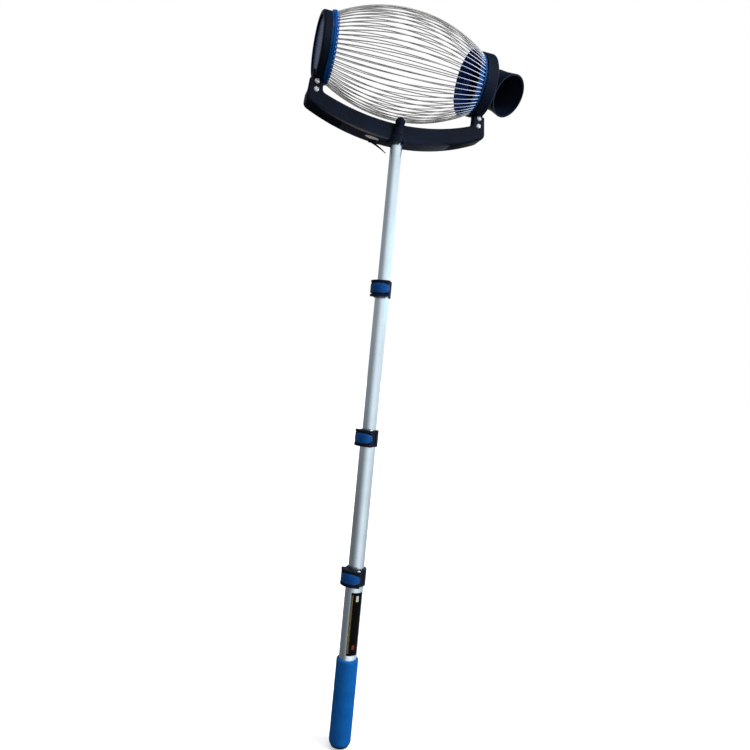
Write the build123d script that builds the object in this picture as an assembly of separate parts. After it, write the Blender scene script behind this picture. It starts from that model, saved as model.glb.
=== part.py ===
from build123d import *

import os
from math import cos, pi, sin, sqrt

# Telescopic olive harvester: a wire barrel that rolls between the arms of a yoke, on a pole of four
# sliding tubes.  Millimetres, the pole along +Z, the barrel along X, the butt of the grip at the origin.

# Pole tubes, from the handle up
HANDLE_OD = 28.0
LOWER_OD = 25.0
MIDDLE_OD = 22.0
UPPER_OD = 19.0
TUBE_WALL = 1.2
TUBE_OVERLAP = 52.0

# Clear lengths of tube that show between the fittings, at full reach
HANDLE_REACH = 116.9
LOWER_REACH = 193.0
MIDDLE_REACH = 208.9
UPPER_REACH = 216.0

# Foam grip and the plugs in the tube ends
GRIP_OD = 35.0
GRIP_LENGTH = 142.0
GRIP_END = 5.0
GRIP_BUTT_ROUND = 8.0
GRIP_RIM_ROUND = 2.0
PLUG_FLANGE = 2.5
PLUG_STEM = 10.0
BUTT_STEM = 15.0

# Flats that make up a quarter round on a turned piece
ROUND_STEPS = 3

# Flip-lock clamps
CLAMP_HEIGHT = 25.4
CLAMP_SEAT = 13.4
CLAMP_WALL = 2.6
CHEEK_THICKNESS = 3.4
CHEEK_REACH = 6.6
CHEEK_ROUND = 2.0
CLAMP_SLIT = 2.0
SLIT_TURN = 38.0
LEVER_THICKNESS = 3.8
LEVER_SWEEP = 104.0
LEVER_CORNER = 6.0
KNUCKLE_RADIUS = 3.6
PIN_RADIUS = 1.5
PIN_OUT = 3.4
PIN_HEAD_RADIUS = 2.4
PIN_HEAD_HEIGHT = 1.4
LOWER_CLAMP_TURN = -3.0
MIDDLE_CLAMP_TURN = -7.0
UPPER_CLAMP_TURN = 9.0

# Barrel of spring wires
WIRE_COUNT = 54
WIRE_DIAMETER = 1.7
WIRE_SIDES = 6
WIRE_CHORDS = 8
BULGE_RADIUS = 80.5
LEFT_WIRE_RADIUS = 48.0
RIGHT_WIRE_RADIUS = 45.5
BLIND_DEPTH = 2.7

# End rings, carried by the yoke at this half width
RING_INNER_X = 124.5
RING_WIDTH = 15.0
RING_RADIUS = 49.5
RING_BORE = 42.0
RING_ROUND = 3.5
LEFT_RING_STEP = 3.2
RIGHT_RING_STEP = 1.5
OUTLET_WALL = 3.0
OUTLET_LIP = 3.0
FOOT_DEPTH = 5.7
FOOT_LENGTH = 25.0
FOOT_ROOT = 14.0

# Hubs
HUB_WALL = 3.0
HUB_RECESS = 2.5
FLANGE_THICKNESS = 2.2
FLANGE_STEP = 0.6
SPIGOT_RADIUS = 45.0
WIRE_RING_WIDTH = 4.0
WIRE_RING_RADIUS = 52.4
RIGHT_SPIGOT_RADIUS = 43.5
RIGHT_FLANGE_WIDTH = 3.6
RIGHT_FLANGE_RADIUS = 49.2
SKIRT_LENGTH = 10.5
SKIRT_WALL = 2.0
HUB_LIP = 1.6

# Outlet elbow
ELBOW_RADIUS = 31.0
ELBOW_WALL = 2.5
ELBOW_FLANGE = 5.0
ELBOW_FLANGE_WIDTH = 2.0
ELBOW_NECK = 21.5
ELBOW_LEG = 31.3
ELBOW_FLARE = 3.0
ELBOW_FLARE_LENGTH = 20.0
ELBOW_BEND = 64.5
ELBOW_ROLL = -54.4

# Yoke
YOKE_WALL = 3.0
YOKE_DEPTH = 30.0
YOKE_FRONT = 4.0
BAR_HEIGHT = 28.5
BAR_RISE = 35.5
BAR_TOP_RISE = 23.5
ARM_WIDTH = 24.5
ARM_SPLAY = 3.5
ARM_SHOULDER = 17.0
TAB_DEPTH = 9.0
ARM_FILLET = 5.0
YOKE_CORNER = 7.0
YOKE_EDGE = 4.0
RIB_THICKNESS = 2.0
RIB_PITCH = 32.0
RIBS_PER_SIDE = 3
RIB_SETBACK = 1.5

# Socket in the middle of the yoke
POST_RADIUS = 9.0
POST_FORWARD = 5.0
STEM_DEPTH = 40.0
KNOB_RADIUS = 7.8
KNOB_FORWARD = 9.0
KNOB_NECK = 5.6
KNOB_RISE = 7.8
SHROUD_DROP = 4.5
SHROUD_DEPTH = 13.0
SHROUD_MOUTH_WALL = 5.2
SHROUD_TOP_WALL = 2.4
NOTCH_WIDTH = 6.0
NOTCH_HEIGHT = 7.0
NOTCH_TURN = 25.0
CAGE_GAP = 2.7

# Screws that hold the end rings to the arms
SCREW_SHANK = 1.9
SCREW_LENGTH = 10.0
SCREW_HEAD_RADIUS = 4.0
SCREW_HEAD_HEIGHT = 2.2
SCREW_TOP_DROP = 4.6
SCREW_PITCH = 12.4

# Clearances
SEAT_FIT = 0.05
PRESS_FIT = 0.1
PIN_FIT = 0.05
SLIDE_GAP = 0.3
RUN_GAP = 0.3
JOURNAL_FIT = 0.1
LEVER_GAP = 0.5
LEVER_SIDE_GAP = 0.4
WIRE_FIT = 0.12
SKIRT_GAP = 0.4
SADDLE_GAP = 0.5

# Heights along the pole
lower_clamp_z = GRIP_LENGTH + HANDLE_REACH
middle_clamp_z = lower_clamp_z + CLAMP_HEIGHT + LOWER_REACH
upper_clamp_z = middle_clamp_z + CLAMP_HEIGHT + MIDDLE_REACH
socket_z = upper_clamp_z + CLAMP_HEIGHT + UPPER_REACH
handle_tube_z = GRIP_END + PLUG_FLANGE
handle_tube_top = lower_clamp_z + CLAMP_SEAT
lower_tube_top = middle_clamp_z + CLAMP_SEAT
middle_tube_top = upper_clamp_z + CLAMP_SEAT
upper_tube_top = socket_z + SHROUD_DEPTH
bar_bottom_z = socket_z + SHROUD_DROP
bar_top_z = bar_bottom_z + BAR_HEIGHT
knob_top_z = bar_top_z + KNOB_RISE
knob_z = knob_top_z - KNOB_RADIUS
post_top_z = knob_z - KNOB_RADIUS
axis_z = knob_top_z + CAGE_GAP + BULGE_RADIUS

# Stations along the barrel's axis, as distances from the pole
wire_radius = WIRE_DIAMETER / 2
ring_outer_x = RING_INNER_X + RING_WIDTH
hub_disc_x = ring_outer_x - HUB_RECESS
flange_x = RING_INNER_X - RUN_GAP
left_ring_inner_x = RING_INNER_X + LEFT_RING_STEP
right_ring_inner_x = RING_INNER_X - RIGHT_RING_STEP
band_x = left_ring_inner_x - RUN_GAP
band_radius = RING_RADIUS - RUN_GAP
journal_radius = RING_BORE - JOURNAL_FIT
hub_flange_radius = WIRE_RING_RADIUS - FLANGE_STEP
left_flange_x = flange_x - FLANGE_THICKNESS
left_ring_x = left_flange_x - WIRE_RING_WIDTH
right_flange_x = right_ring_inner_x - RUN_GAP
right_ring_x = right_flange_x - RIGHT_FLANGE_WIDTH
left_wire_x = left_flange_x - wire_radius
right_wire_x = right_ring_x + BLIND_DEPTH
outlet_wall_x = ring_outer_x - OUTLET_WALL
elbow_flange_x = outlet_wall_x - RUN_GAP - ELBOW_FLANGE_WIDTH
right_journal_x = elbow_flange_x - RUN_GAP

# Arms of the yoke
arm_outer_x = RING_INNER_X + ARM_WIDTH
arm_top_z = axis_z - RING_RADIUS - SADDLE_GAP
screw_x = RING_INNER_X + (ARM_WIDTH - ARM_SPLAY) / 2
screw_heights = [arm_top_z - SCREW_TOP_DROP - row * SCREW_PITCH for row in range(2)]

barrel_axis = Location((0, 0, axis_z))
elbow_point = Vector(ring_outer_x + ELBOW_NECK, 0, 0)
mouth_axis = Vector(1, 0, 0).rotate(Axis.Y, ELBOW_BEND).rotate(Axis.X, ELBOW_ROLL)

# How a cylinder stands on its base plane, or hangs from it
ON_BASE = (Align.CENTER, Align.CENTER, Align.MIN)
UNDER_BASE = (Align.CENTER, Align.CENTER, Align.MAX)


def ring_solid(outer_radius, inner_radius, bottom, top):
    """A plain tube along Z between two heights."""
    outer = Pos(0, 0, (bottom + top) / 2) * Cylinder(outer_radius, top - bottom)
    return outer - Pos(0, 0, (bottom + top) / 2) * Cylinder(inner_radius, top - bottom)


def turned(points):
    """Revolve an outline of (distance along the barrel, radius) points about the barrel's axis."""
    face = make_face(Polyline([(x, 0, r) for x, r in points], close=True))
    return barrel_axis * revolve(face, Axis.X)


def quarter_round(centre, radius, start):
    """Corner points of a quarter round in an outline, from a starting angle in quarter turns."""
    angles = [(start + step / ROUND_STEPS) * pi / 2 for step in range(ROUND_STEPS + 1)]
    return [(centre[0] + radius * cos(angle), centre[1] + radius * sin(angle)) for angle in angles]


def in_barrel(shape, index):
    """Place a shape made beside the barrel's axis at one of the wire stations."""
    return barrel_axis * Rot(index * 360 / WIRE_COUNT, 0, 0) * shape


def tube(outer_diameter, bottom, top):
    return ring_solid(outer_diameter / 2, outer_diameter / 2 - TUBE_WALL, bottom, top)


def grip():
    """Foam sleeve, closed and rounded at the butt."""
    radius = GRIP_OD / 2
    bore = HANDLE_OD / 2 + PRESS_FIT
    outline = [(0, 0)]
    outline += quarter_round((radius - GRIP_BUTT_ROUND, GRIP_BUTT_ROUND), GRIP_BUTT_ROUND, -1)
    outline += quarter_round((radius - GRIP_RIM_ROUND, GRIP_LENGTH - GRIP_RIM_ROUND), GRIP_RIM_ROUND, 0)
    outline += [(bore, GRIP_LENGTH), (bore, GRIP_END), (0, GRIP_END)]
    return revolve(Plane.XZ * make_face(Polyline(outline, close=True)), Axis.Z)


def tube_plug(tube_diameter, flange_radius, end_z, stem):
    """Flanged plug pressed into the lower end of a tube."""
    flange = Pos(0, 0, end_z) * Cylinder(flange_radius, PLUG_FLANGE, align=UNDER_BASE)
    stem_radius = tube_diameter / 2 - TUBE_WALL - PRESS_FIT
    return flange + Pos(0, 0, end_z) * Cylinder(stem_radius, stem, align=ON_BASE)


def guide_plug(tube_diameter, outer_diameter, end_z):
    """Plug whose flange guides the end of an inner tube inside the next one out."""
    return tube_plug(tube_diameter, outer_diameter / 2 - TUBE_WALL - SLIDE_GAP / 2, end_z, PLUG_STEM)


def sector(inner_radius, outer_radius, start, sweep):
    """Flat piece of a ring, seen from above, between two angles in degrees."""
    outer = CenterArc((0, 0), outer_radius, start, sweep)
    inner = CenterArc((0, 0), inner_radius, start, sweep)
    sides = [Line(inner @ end, outer @ end) for end in (0, 1)]
    return make_face([outer, inner] + sides)


def clamp_radius(outer_diameter):
    return outer_diameter / 2 + CLAMP_WALL


def pin_point(outer_diameter):
    """Where the lever pivots, in front of the collar."""
    return (0, -(clamp_radius(outer_diameter) + PIN_OUT))


def clamp_body(outer_diameter, inner_diameter):
    """Split collar with a cheek above and below the lever; its seat takes the outer tube."""
    radius = clamp_radius(outer_diameter)
    pin_x, pin_y = pin_point(outer_diameter)
    cheek = sector(radius - CLAMP_WALL / 2, radius + CHEEK_REACH, -90, -LEVER_SWEEP)
    cheek = fillet(cheek.vertices().sort_by_distance((0, 0))[2:], CHEEK_ROUND)
    boss = Pos(pin_x, pin_y) * Circle(KNUCKLE_RADIUS)
    neck = Pos(pin_x, pin_y / 2) * Rectangle(2 * KNUCKLE_RADIUS, abs(pin_y))
    plan = cheek + boss + neck
    lower_cheek = extrude(plan, CHEEK_THICKNESS)
    body = Cylinder(radius, CLAMP_HEIGHT, align=ON_BASE)
    body += lower_cheek
    body += Pos(0, 0, CLAMP_HEIGHT - CHEEK_THICKNESS) * lower_cheek
    pocket_height = CLAMP_HEIGHT - 2 * CHEEK_THICKNESS
    pocket = Pos(pin_x, pin_y, CLAMP_HEIGHT / 2) * Cylinder(KNUCKLE_RADIUS + LEVER_GAP, pocket_height)
    body -= pocket
    body -= Pos(pin_x, pin_y, CLAMP_HEIGHT / 2) * Cylinder(PIN_RADIUS + PIN_FIT, CLAMP_HEIGHT)
    body -= Pos(0, 0, CLAMP_SEAT / 2) * Cylinder(outer_diameter / 2 + SEAT_FIT, CLAMP_SEAT)
    body -= Pos(0, 0, CLAMP_HEIGHT / 2) * Cylinder(inner_diameter / 2 + SLIDE_GAP, CLAMP_HEIGHT)
    slit_height = CLAMP_HEIGHT - CHEEK_THICKNESS
    slit = Box(CLAMP_SLIT, radius, slit_height, align=(Align.CENTER, Align.MAX, Align.MIN))
    return body - Rot(0, 0, SLIT_TURN) * Pos(0, -inner_diameter / 4, CHEEK_THICKNESS) * slit


def clamp_lever(outer_diameter):
    """Cam lever that wraps the collar between the cheeks when it is shut."""
    inner = clamp_radius(outer_diameter) + LEVER_GAP
    pin_x, pin_y = pin_point(outer_diameter)
    plate = sector(inner, inner + LEVER_THICKNESS, -90, -LEVER_SWEEP)
    plan = plate + Pos(pin_x, pin_y) * Circle(KNUCKLE_RADIUS)
    height = CLAMP_HEIGHT - 2 * CHEEK_THICKNESS - 2 * LEVER_SIDE_GAP
    lever = extrude(plan, height / 2, both=True)
    corners = lever.edges().filter_by(lambda edge: abs(edge.length - LEVER_THICKNESS) < PIN_FIT)
    lever = fillet(corners, LEVER_CORNER)
    lever -= Pos(pin_x, pin_y) * Cylinder(PIN_RADIUS + PIN_FIT, height)
    return Pos(0, 0, CLAMP_HEIGHT / 2) * lever


def clamp_pin(outer_diameter):
    """Riveted pin with a head at each end."""
    shank = Cylinder(PIN_RADIUS, CLAMP_HEIGHT)
    head = Pos(0, 0, CLAMP_HEIGHT / 2) * Cylinder(PIN_HEAD_RADIUS, PIN_HEAD_HEIGHT, align=ON_BASE)
    pin = shank + head + mirror(head, Plane.XY)
    pin_x, pin_y = pin_point(outer_diameter)
    return Pos(pin_x, pin_y, CLAMP_HEIGHT / 2) * pin


def wire_points():
    """Corners of one wire on its bow, from the left hub to the right."""
    bow = ThreePointArc(
        (-left_wire_x, 0, LEFT_WIRE_RADIUS),
        (0, 0, BULGE_RADIUS - wire_radius),
        (right_wire_x, 0, RIGHT_WIRE_RADIUS),
    )
    return [bow @ (step / WIRE_CHORDS) for step in range(WIRE_CHORDS + 1)]


def wire():
    points = wire_points()
    start = Plane(origin=points[0], z_dir=points[1] - points[0])
    section = start * RegularPolygon(wire_radius, WIRE_SIDES)
    return sweep(section, Polyline(points), transition=Transition.RIGHT)


def wire_hole(end, inward, overrun):
    """Straight hole for a wire's end, reaching a little past it."""
    along = (inward - end).normalized()
    start = Plane(origin=end - along * overrun, z_dir=along)
    return extrude(start * RegularPolygon(wire_radius + WIRE_FIT, WIRE_SIDES), (inward - end).length)


def left_hub():
    """Closed hub: journal and end disc in the left ring, a band beside it, and the wire ring's flange."""
    inner = journal_radius - HUB_WALL
    return turned([
        (-hub_disc_x, 0),
        (-hub_disc_x, journal_radius),
        (-band_x, journal_radius),
        (-band_x, band_radius),
        (-flange_x, band_radius),
        (-flange_x, hub_flange_radius),
        (-left_flange_x, hub_flange_radius),
        (-left_flange_x, SPIGOT_RADIUS - SEAT_FIT),
        (-left_ring_x, SPIGOT_RADIUS - SEAT_FIT),
        (-left_ring_x, SPIGOT_RADIUS - HUB_WALL),
        (-left_flange_x, inner),
        (-hub_disc_x + HUB_WALL, inner),
        (-hub_disc_x + HUB_WALL, 0),
    ])


def left_wire_ring():
    """Drilled ring on the hub's spigot that takes the left ends of the wires."""
    ring = turned([
        (-left_flange_x, SPIGOT_RADIUS),
        (-left_flange_x, WIRE_RING_RADIUS - HUB_LIP / 2),
        (-left_flange_x + HUB_LIP / 2, WIRE_RING_RADIUS),
        (-left_ring_x - HUB_LIP / 2, WIRE_RING_RADIUS),
        (-left_ring_x, WIRE_RING_RADIUS - HUB_LIP / 2),
        (-left_ring_x, SPIGOT_RADIUS),
    ])
    points = wire_points()
    hole = wire_hole(points[0], points[1], RUN_GAP + WIRE_DIAMETER)
    return ring - [in_barrel(hole, index) for index in range(WIRE_COUNT)]


def skirt_radius(x):
    """Outside of the right hub's skirt, just inside the straight ends of the wires."""
    inward, end = wire_points()[-2:]
    slope = (inward.Z - end.Z) / (end.X - inward.X)
    drop = (wire_radius + SKIRT_GAP) * sqrt(1 + slope * slope)
    return end.Z + slope * (end.X - x) - drop


def right_hub():
    """Open hub: journal in the right ring, with a lipped spigot for the wire ring."""
    lip_x = right_ring_x - HUB_LIP
    inner = journal_radius - HUB_WALL
    return turned([
        (right_journal_x, inner),
        (right_journal_x, journal_radius),
        (right_flange_x, journal_radius),
        (right_flange_x, RIGHT_SPIGOT_RADIUS - SEAT_FIT),
        (right_ring_x, RIGHT_SPIGOT_RADIUS - SEAT_FIT),
        (right_ring_x, RIGHT_SPIGOT_RADIUS - HUB_WALL),
        (lip_x, RIGHT_SPIGOT_RADIUS - HUB_WALL),
        (lip_x, RIGHT_SPIGOT_RADIUS - 2 * HUB_WALL),
    ])


def right_wire_ring():
    """Drilled flange for the right ends of the wires, with the skirt that lines them."""
    tip_x = right_ring_x - SKIRT_LENGTH
    ring = turned([
        (right_flange_x, RIGHT_SPIGOT_RADIUS),
        (right_flange_x, RIGHT_FLANGE_RADIUS),
        (right_ring_x, RIGHT_FLANGE_RADIUS),
        (right_ring_x, skirt_radius(right_ring_x)),
        (tip_x, skirt_radius(tip_x)),
        (tip_x, skirt_radius(tip_x) - SKIRT_WALL),
        (right_ring_x, RIGHT_SPIGOT_RADIUS),
    ])
    points = wire_points()
    hole = wire_hole(points[-1], points[-2], WIRE_FIT)
    return ring - [in_barrel(hole, index) for index in range(WIRE_COUNT)]


def end_ring(inner_x, outer_x):
    """Right-hand end ring between two stations, with the foot that the arm takes and no wall across it."""
    rim = quarter_round((outer_x - RING_ROUND, RING_RADIUS - RING_ROUND), RING_ROUND, 0)
    ring = turned([(inner_x, RING_BORE), (outer_x, RING_BORE), *rim, (inner_x, RING_RADIUS)])
    foot_inner_x = RING_INNER_X + YOKE_WALL + RUN_GAP
    foot_outer_x = arm_outer_x - ARM_SPLAY - YOKE_WALL - RUN_GAP
    root_z = arm_top_z + FOOT_ROOT
    outline = Polyline(
        (foot_inner_x, 0, arm_top_z - FOOT_LENGTH),
        (foot_outer_x, 0, arm_top_z - FOOT_LENGTH),
        (foot_outer_x, 0, root_z - RING_ROUND),
        (foot_outer_x - RING_ROUND, 0, root_z),
        (foot_inner_x, 0, root_z),
        close=True,
    )
    foot = Pos(0, YOKE_WALL - YOKE_FRONT, 0) * extrude(make_face(outline), FOOT_DEPTH, dir=(0, 1, 0))
    room_x = hub_disc_x + RUN_GAP
    hub_room = turned([
        (0, 0),
        (0, RING_RADIUS),
        (inner_x, RING_RADIUS),
        (inner_x, RING_BORE),
        (room_x, RING_BORE),
        (room_x, 0),
    ])
    ring = ring + (foot - hub_room)
    return ring - [screw_hole(SCREW_SHANK + SEAT_FIT, z) for z in screw_heights]


def screw_hole(radius, z):
    """Hole along Y for an arm screw, on the right-hand side."""
    depth = SCREW_LENGTH + SCREW_SHANK
    return Pos(screw_x, depth / 2 - YOKE_FRONT, z) * Rot(90, 0, 0) * Cylinder(radius, depth)


def right_end_ring():
    """End ring with the wall that the outlet elbow turns in, set back behind a lip."""
    wall = turned([
        (outlet_wall_x, ELBOW_RADIUS + JOURNAL_FIT),
        (outlet_wall_x, RING_BORE),
        (ring_outer_x, RING_BORE),
        (ring_outer_x, ELBOW_RADIUS + JOURNAL_FIT),
    ])
    return end_ring(right_ring_inner_x, ring_outer_x + OUTLET_LIP) + wall


def arm_screws():
    """Two screws in the right arm, their heads on its front."""
    head = Cylinder(SCREW_HEAD_RADIUS, SCREW_HEAD_HEIGHT, align=ON_BASE)
    screw = head + Cylinder(SCREW_SHANK, SCREW_LENGTH, align=UNDER_BASE)
    return [Pos(screw_x, -YOKE_FRONT, z) * Rot(90, 0, 0) * screw for z in screw_heights]


def bow_radius(half_width, rise):
    """Radius of an arc that rises this much over this half width."""
    return (half_width * half_width + rise * rise) / (2 * rise)


def yoke_outline(inset, top_z):
    """U outline of the yoke seen from the front, drawn in by a wall thickness."""
    bottom_radius = bow_radius(arm_outer_x, BAR_RISE)
    top_radius = bow_radius(RING_INNER_X, BAR_TOP_RISE)
    outer_x = arm_outer_x - inset
    inner_x = RING_INNER_X + inset

    def bottom_z(x):
        radius = bottom_radius - inset
        return bar_bottom_z + bottom_radius - sqrt(radius * radius - x * x)

    def top_z_at(x):
        radius = top_radius + inset
        return bar_top_z + top_radius - sqrt(radius * radius - x * x)

    lower = ThreePointArc(
        (-outer_x, 0, bottom_z(outer_x)),
        (0, 0, bottom_z(0)),
        (outer_x, 0, bottom_z(outer_x)),
    )
    upper = ThreePointArc(
        (inner_x, 0, top_z_at(inner_x)),
        (0, 0, top_z_at(0)),
        (-inner_x, 0, top_z_at(inner_x)),
    )
    right = Polyline(lower @ 1, (outer_x - ARM_SPLAY, 0, top_z), (inner_x, 0, top_z), upper @ 0)
    left = Polyline(upper @ 1, (-inner_x, 0, top_z), (-outer_x + ARM_SPLAY, 0, top_z), lower @ 0)
    return make_face([lower, right, upper, left])


def yoke_shell():
    """Moulded channel, open at the back, with cross ribs in the bar and shallow tabs on the arms."""
    shell = extrude(yoke_outline(0, arm_top_z), YOKE_DEPTH, dir=(0, 1, 0))
    upright = shell.edges().filter_by(Axis.Y).sort_by(Axis.Z)
    shell = fillet(upright[:2], YOKE_CORNER)
    upright = shell.edges().filter_by(Axis.Y)
    below_top = upright.filter_by(lambda edge: edge.center().Z < arm_top_z - YOKE_WALL)
    inner = below_top.filter_by(lambda edge: abs(abs(edge.center().X) - RING_INNER_X) < YOKE_WALL)
    shell = fillet(inner, ARM_FILLET)
    front = shell.faces().sort_by(Axis.Y)[0]
    shell = fillet(front.edges().filter_by(lambda edge: edge.center().Z < arm_top_z - PRESS_FIT), YOKE_EDGE)
    pocket = extrude(yoke_outline(YOKE_WALL, arm_top_z + YOKE_WALL), YOKE_DEPTH, dir=(0, 1, 0))
    shell -= Pos(0, YOKE_WALL, 0) * pocket
    behind_front = (Align.CENTER, Align.MIN, Align.CENTER)
    behind_tabs = Box(3 * arm_outer_x, YOKE_DEPTH, 2 * ARM_SHOULDER, align=behind_front)
    shell -= Pos(0, TAB_DEPTH, arm_top_z) * behind_tabs
    rib_depth = YOKE_DEPTH - RIB_SETBACK
    rib = Box(RIB_THICKNESS, rib_depth, 4 * BAR_HEIGHT, align=behind_front)
    block = extrude(yoke_outline(YOKE_WALL / 2, arm_top_z), rib_depth, dir=(0, 1, 0))
    for side in (-1, 1):
        for row in range(1, RIBS_PER_SIDE + 1):
            shell += block & Pos(side * row * RIB_PITCH, YOKE_WALL / 2, bar_top_z) * rib
    return Pos(0, -YOKE_FRONT, 0) * shell


def yoke():
    """Yoke with its socket: a stem in the pole, a shroud round it, and a post with a ball knob in front."""
    tube_radius = UPPER_OD / 2
    mouth_radius = tube_radius + SEAT_FIT + SHROUD_MOUTH_WALL
    top_radius = tube_radius + SEAT_FIT + SHROUD_TOP_WALL
    height = SHROUD_DEPTH + SHROUD_TOP_WALL
    shroud = Cone(mouth_radius, top_radius, height, align=ON_BASE)
    post = Cylinder(POST_RADIUS, post_top_z - upper_tube_top, align=ON_BASE)
    post = Pos(0, -POST_FORWARD, upper_tube_top) * post
    knob = Pos(0, 0, knob_z) * Sphere(KNOB_RADIUS)
    knob += Pos(0, 0, post_top_z) * Cylinder(KNOB_NECK, KNOB_RADIUS, align=ON_BASE)
    body = yoke_shell() + Pos(0, 0, socket_z) * shroud + post + Pos(0, -KNOB_FORWARD, 0) * knob
    bore = Cylinder(tube_radius + SEAT_FIT, SHROUD_DEPTH, align=ON_BASE)
    body -= Pos(0, 0, socket_z) * bore
    stem_radius = tube_radius - TUBE_WALL - PRESS_FIT
    stem = Cylinder(stem_radius, STEM_DEPTH, align=UNDER_BASE)
    body += Pos(0, 0, upper_tube_top) * stem
    notch = Polyline((-NOTCH_WIDTH / 2, 0), (NOTCH_WIDTH / 2, 0), (0, NOTCH_HEIGHT), close=True)
    cut = extrude(Plane.XZ * make_face(notch), 2 * mouth_radius)
    cut -= Cylinder(tube_radius, 4 * NOTCH_HEIGHT)
    body -= Pos(0, 0, socket_z) * Rot(0, 0, NOTCH_TURN) * cut
    for z in screw_heights:
        hole = screw_hole(SCREW_SHANK + PRESS_FIT, z)
        body -= hole
        body -= mirror(hole, Plane.YZ)
    return body


def elbow_core(radius, neck_start, leg_end):
    """Mitred elbow whose legs meet on the barrel's axis, flared towards its mouth."""
    mouth = Plane(elbow_point + mouth_axis * leg_end, z_dir=mouth_axis)
    path = Polyline((neck_start, 0, 0), elbow_point, mouth.origin)
    elbow = sweep(Plane.YZ.offset(neck_start) * Circle(radius), path, transition=Transition.RIGHT)
    flare = Cone(radius, radius + ELBOW_FLARE, ELBOW_FLARE_LENGTH, align=UNDER_BASE)
    return elbow + Location(mouth) * flare


def outlet_elbow():
    """Bent spout that turns in the right end ring, with a flange inside to keep it there."""
    outer = elbow_core(ELBOW_RADIUS, elbow_flange_x, ELBOW_LEG)
    flange = Pos(elbow_flange_x, 0, 0) * Rot(0, 90, 0)
    outer += flange * Cylinder(ELBOW_RADIUS + ELBOW_FLANGE, ELBOW_FLANGE_WIDTH, align=ON_BASE)
    bore_radius = ELBOW_RADIUS - ELBOW_WALL
    bore = elbow_core(bore_radius, elbow_flange_x - ELBOW_WALL, ELBOW_LEG + ELBOW_WALL)
    return barrel_axis * (outer - bore)


def clamp_pieces(name, outer_diameter, inner_diameter, z, turn):
    """The three pieces of one flip-lock clamp, turned to its place on the pole."""
    place = Pos(0, 0, z) * Rot(0, 0, turn)
    return {
        f"{name}_clamp": place * clamp_body(outer_diameter, inner_diameter),
        f"{name}_clamp_lever": place * clamp_lever(outer_diameter),
        f"{name}_clamp_pin": place * clamp_pin(outer_diameter),
    }


def pole_pieces():
    lower_end = handle_tube_top - TUBE_OVERLAP
    middle_end = lower_tube_top - TUBE_OVERLAP
    upper_end = middle_tube_top - TUBE_OVERLAP
    pieces = {
        "foam_grip": grip(),
        "butt_plug": tube_plug(HANDLE_OD, HANDLE_OD / 2, handle_tube_z, BUTT_STEM),
        "handle_tube": tube(HANDLE_OD, handle_tube_z, handle_tube_top),
        "lower_tube": tube(LOWER_OD, lower_end, lower_tube_top),
        "lower_tube_plug": guide_plug(LOWER_OD, HANDLE_OD, lower_end),
        "middle_tube": tube(MIDDLE_OD, middle_end, middle_tube_top),
        "middle_tube_plug": guide_plug(MIDDLE_OD, LOWER_OD, middle_end),
        "upper_tube": tube(UPPER_OD, upper_end, upper_tube_top),
        "upper_tube_plug": guide_plug(UPPER_OD, MIDDLE_OD, upper_end),
    }
    pieces.update(clamp_pieces("lower", HANDLE_OD, LOWER_OD, lower_clamp_z, LOWER_CLAMP_TURN))
    pieces.update(clamp_pieces("middle", LOWER_OD, MIDDLE_OD, middle_clamp_z, MIDDLE_CLAMP_TURN))
    pieces.update(clamp_pieces("upper", MIDDLE_OD, UPPER_OD, upper_clamp_z, UPPER_CLAMP_TURN))
    return pieces


def head_pieces():
    right_screws = arm_screws()
    one_wire = wire()
    return {
        "yoke": yoke(),
        "left_end_ring": mirror(end_ring(left_ring_inner_x, ring_outer_x), Plane.YZ),
        "right_end_ring": right_end_ring(),
        "left_arm_screws": Compound([mirror(screw, Plane.YZ) for screw in right_screws]),
        "right_arm_screws": Compound(right_screws),
        "left_hub": left_hub(),
        "left_wire_ring": left_wire_ring(),
        "right_hub": right_hub(),
        "right_wire_ring": right_wire_ring(),
        "cage_wires": Compound([in_barrel(one_wire, index) for index in range(WIRE_COUNT)]),
        "outlet_elbow": outlet_elbow(),
    }


def main():
    os.makedirs("parts", exist_ok=True)
    for node, shape in {**pole_pieces(), **head_pieces()}.items():
        export_step(shape, f"parts/{node}.step")
        print(node, round(shape.volume), "mm3")


main()
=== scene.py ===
# %% [markdown]
# # A telescopic olive harvester
# The object is a barrel of bowed spring wires that rolls over the ground and lets olives slip in between
# the wires.  It turns in a black yoke on a four-part aluminium pole.  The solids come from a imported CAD
# frame; this lesson dresses them: smooth moulded forms, real wires, and materials built from nodes.

# %% Load the frame
from math import atan2, copysign, cos, hypot, pi, radians, sin, sqrt, tau

import bmesh
import bpy
from mathutils import Matrix, Vector, noise


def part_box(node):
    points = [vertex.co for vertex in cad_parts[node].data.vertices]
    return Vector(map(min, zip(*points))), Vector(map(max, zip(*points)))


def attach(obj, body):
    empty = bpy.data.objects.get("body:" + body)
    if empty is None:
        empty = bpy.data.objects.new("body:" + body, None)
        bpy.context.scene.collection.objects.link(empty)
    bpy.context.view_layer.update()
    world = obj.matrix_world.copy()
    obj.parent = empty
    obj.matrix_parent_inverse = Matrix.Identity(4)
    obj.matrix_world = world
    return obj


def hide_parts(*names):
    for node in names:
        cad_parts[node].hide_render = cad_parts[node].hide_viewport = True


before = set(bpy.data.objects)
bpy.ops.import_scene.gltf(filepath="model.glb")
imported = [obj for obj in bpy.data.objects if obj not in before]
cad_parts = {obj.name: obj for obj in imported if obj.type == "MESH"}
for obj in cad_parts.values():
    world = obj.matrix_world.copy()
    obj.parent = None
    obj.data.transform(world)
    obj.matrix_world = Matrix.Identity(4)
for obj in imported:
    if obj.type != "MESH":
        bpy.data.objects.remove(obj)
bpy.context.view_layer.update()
MM = 0.001

# %% [markdown]
# ## Sizes taken from the frame
# Every piece has to sit where the CAD says, so the main stations are read from the boxes of the CAD nodes.
# Working in millimetres keeps the numbers close to what a maker would measure with a caliper.

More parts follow.
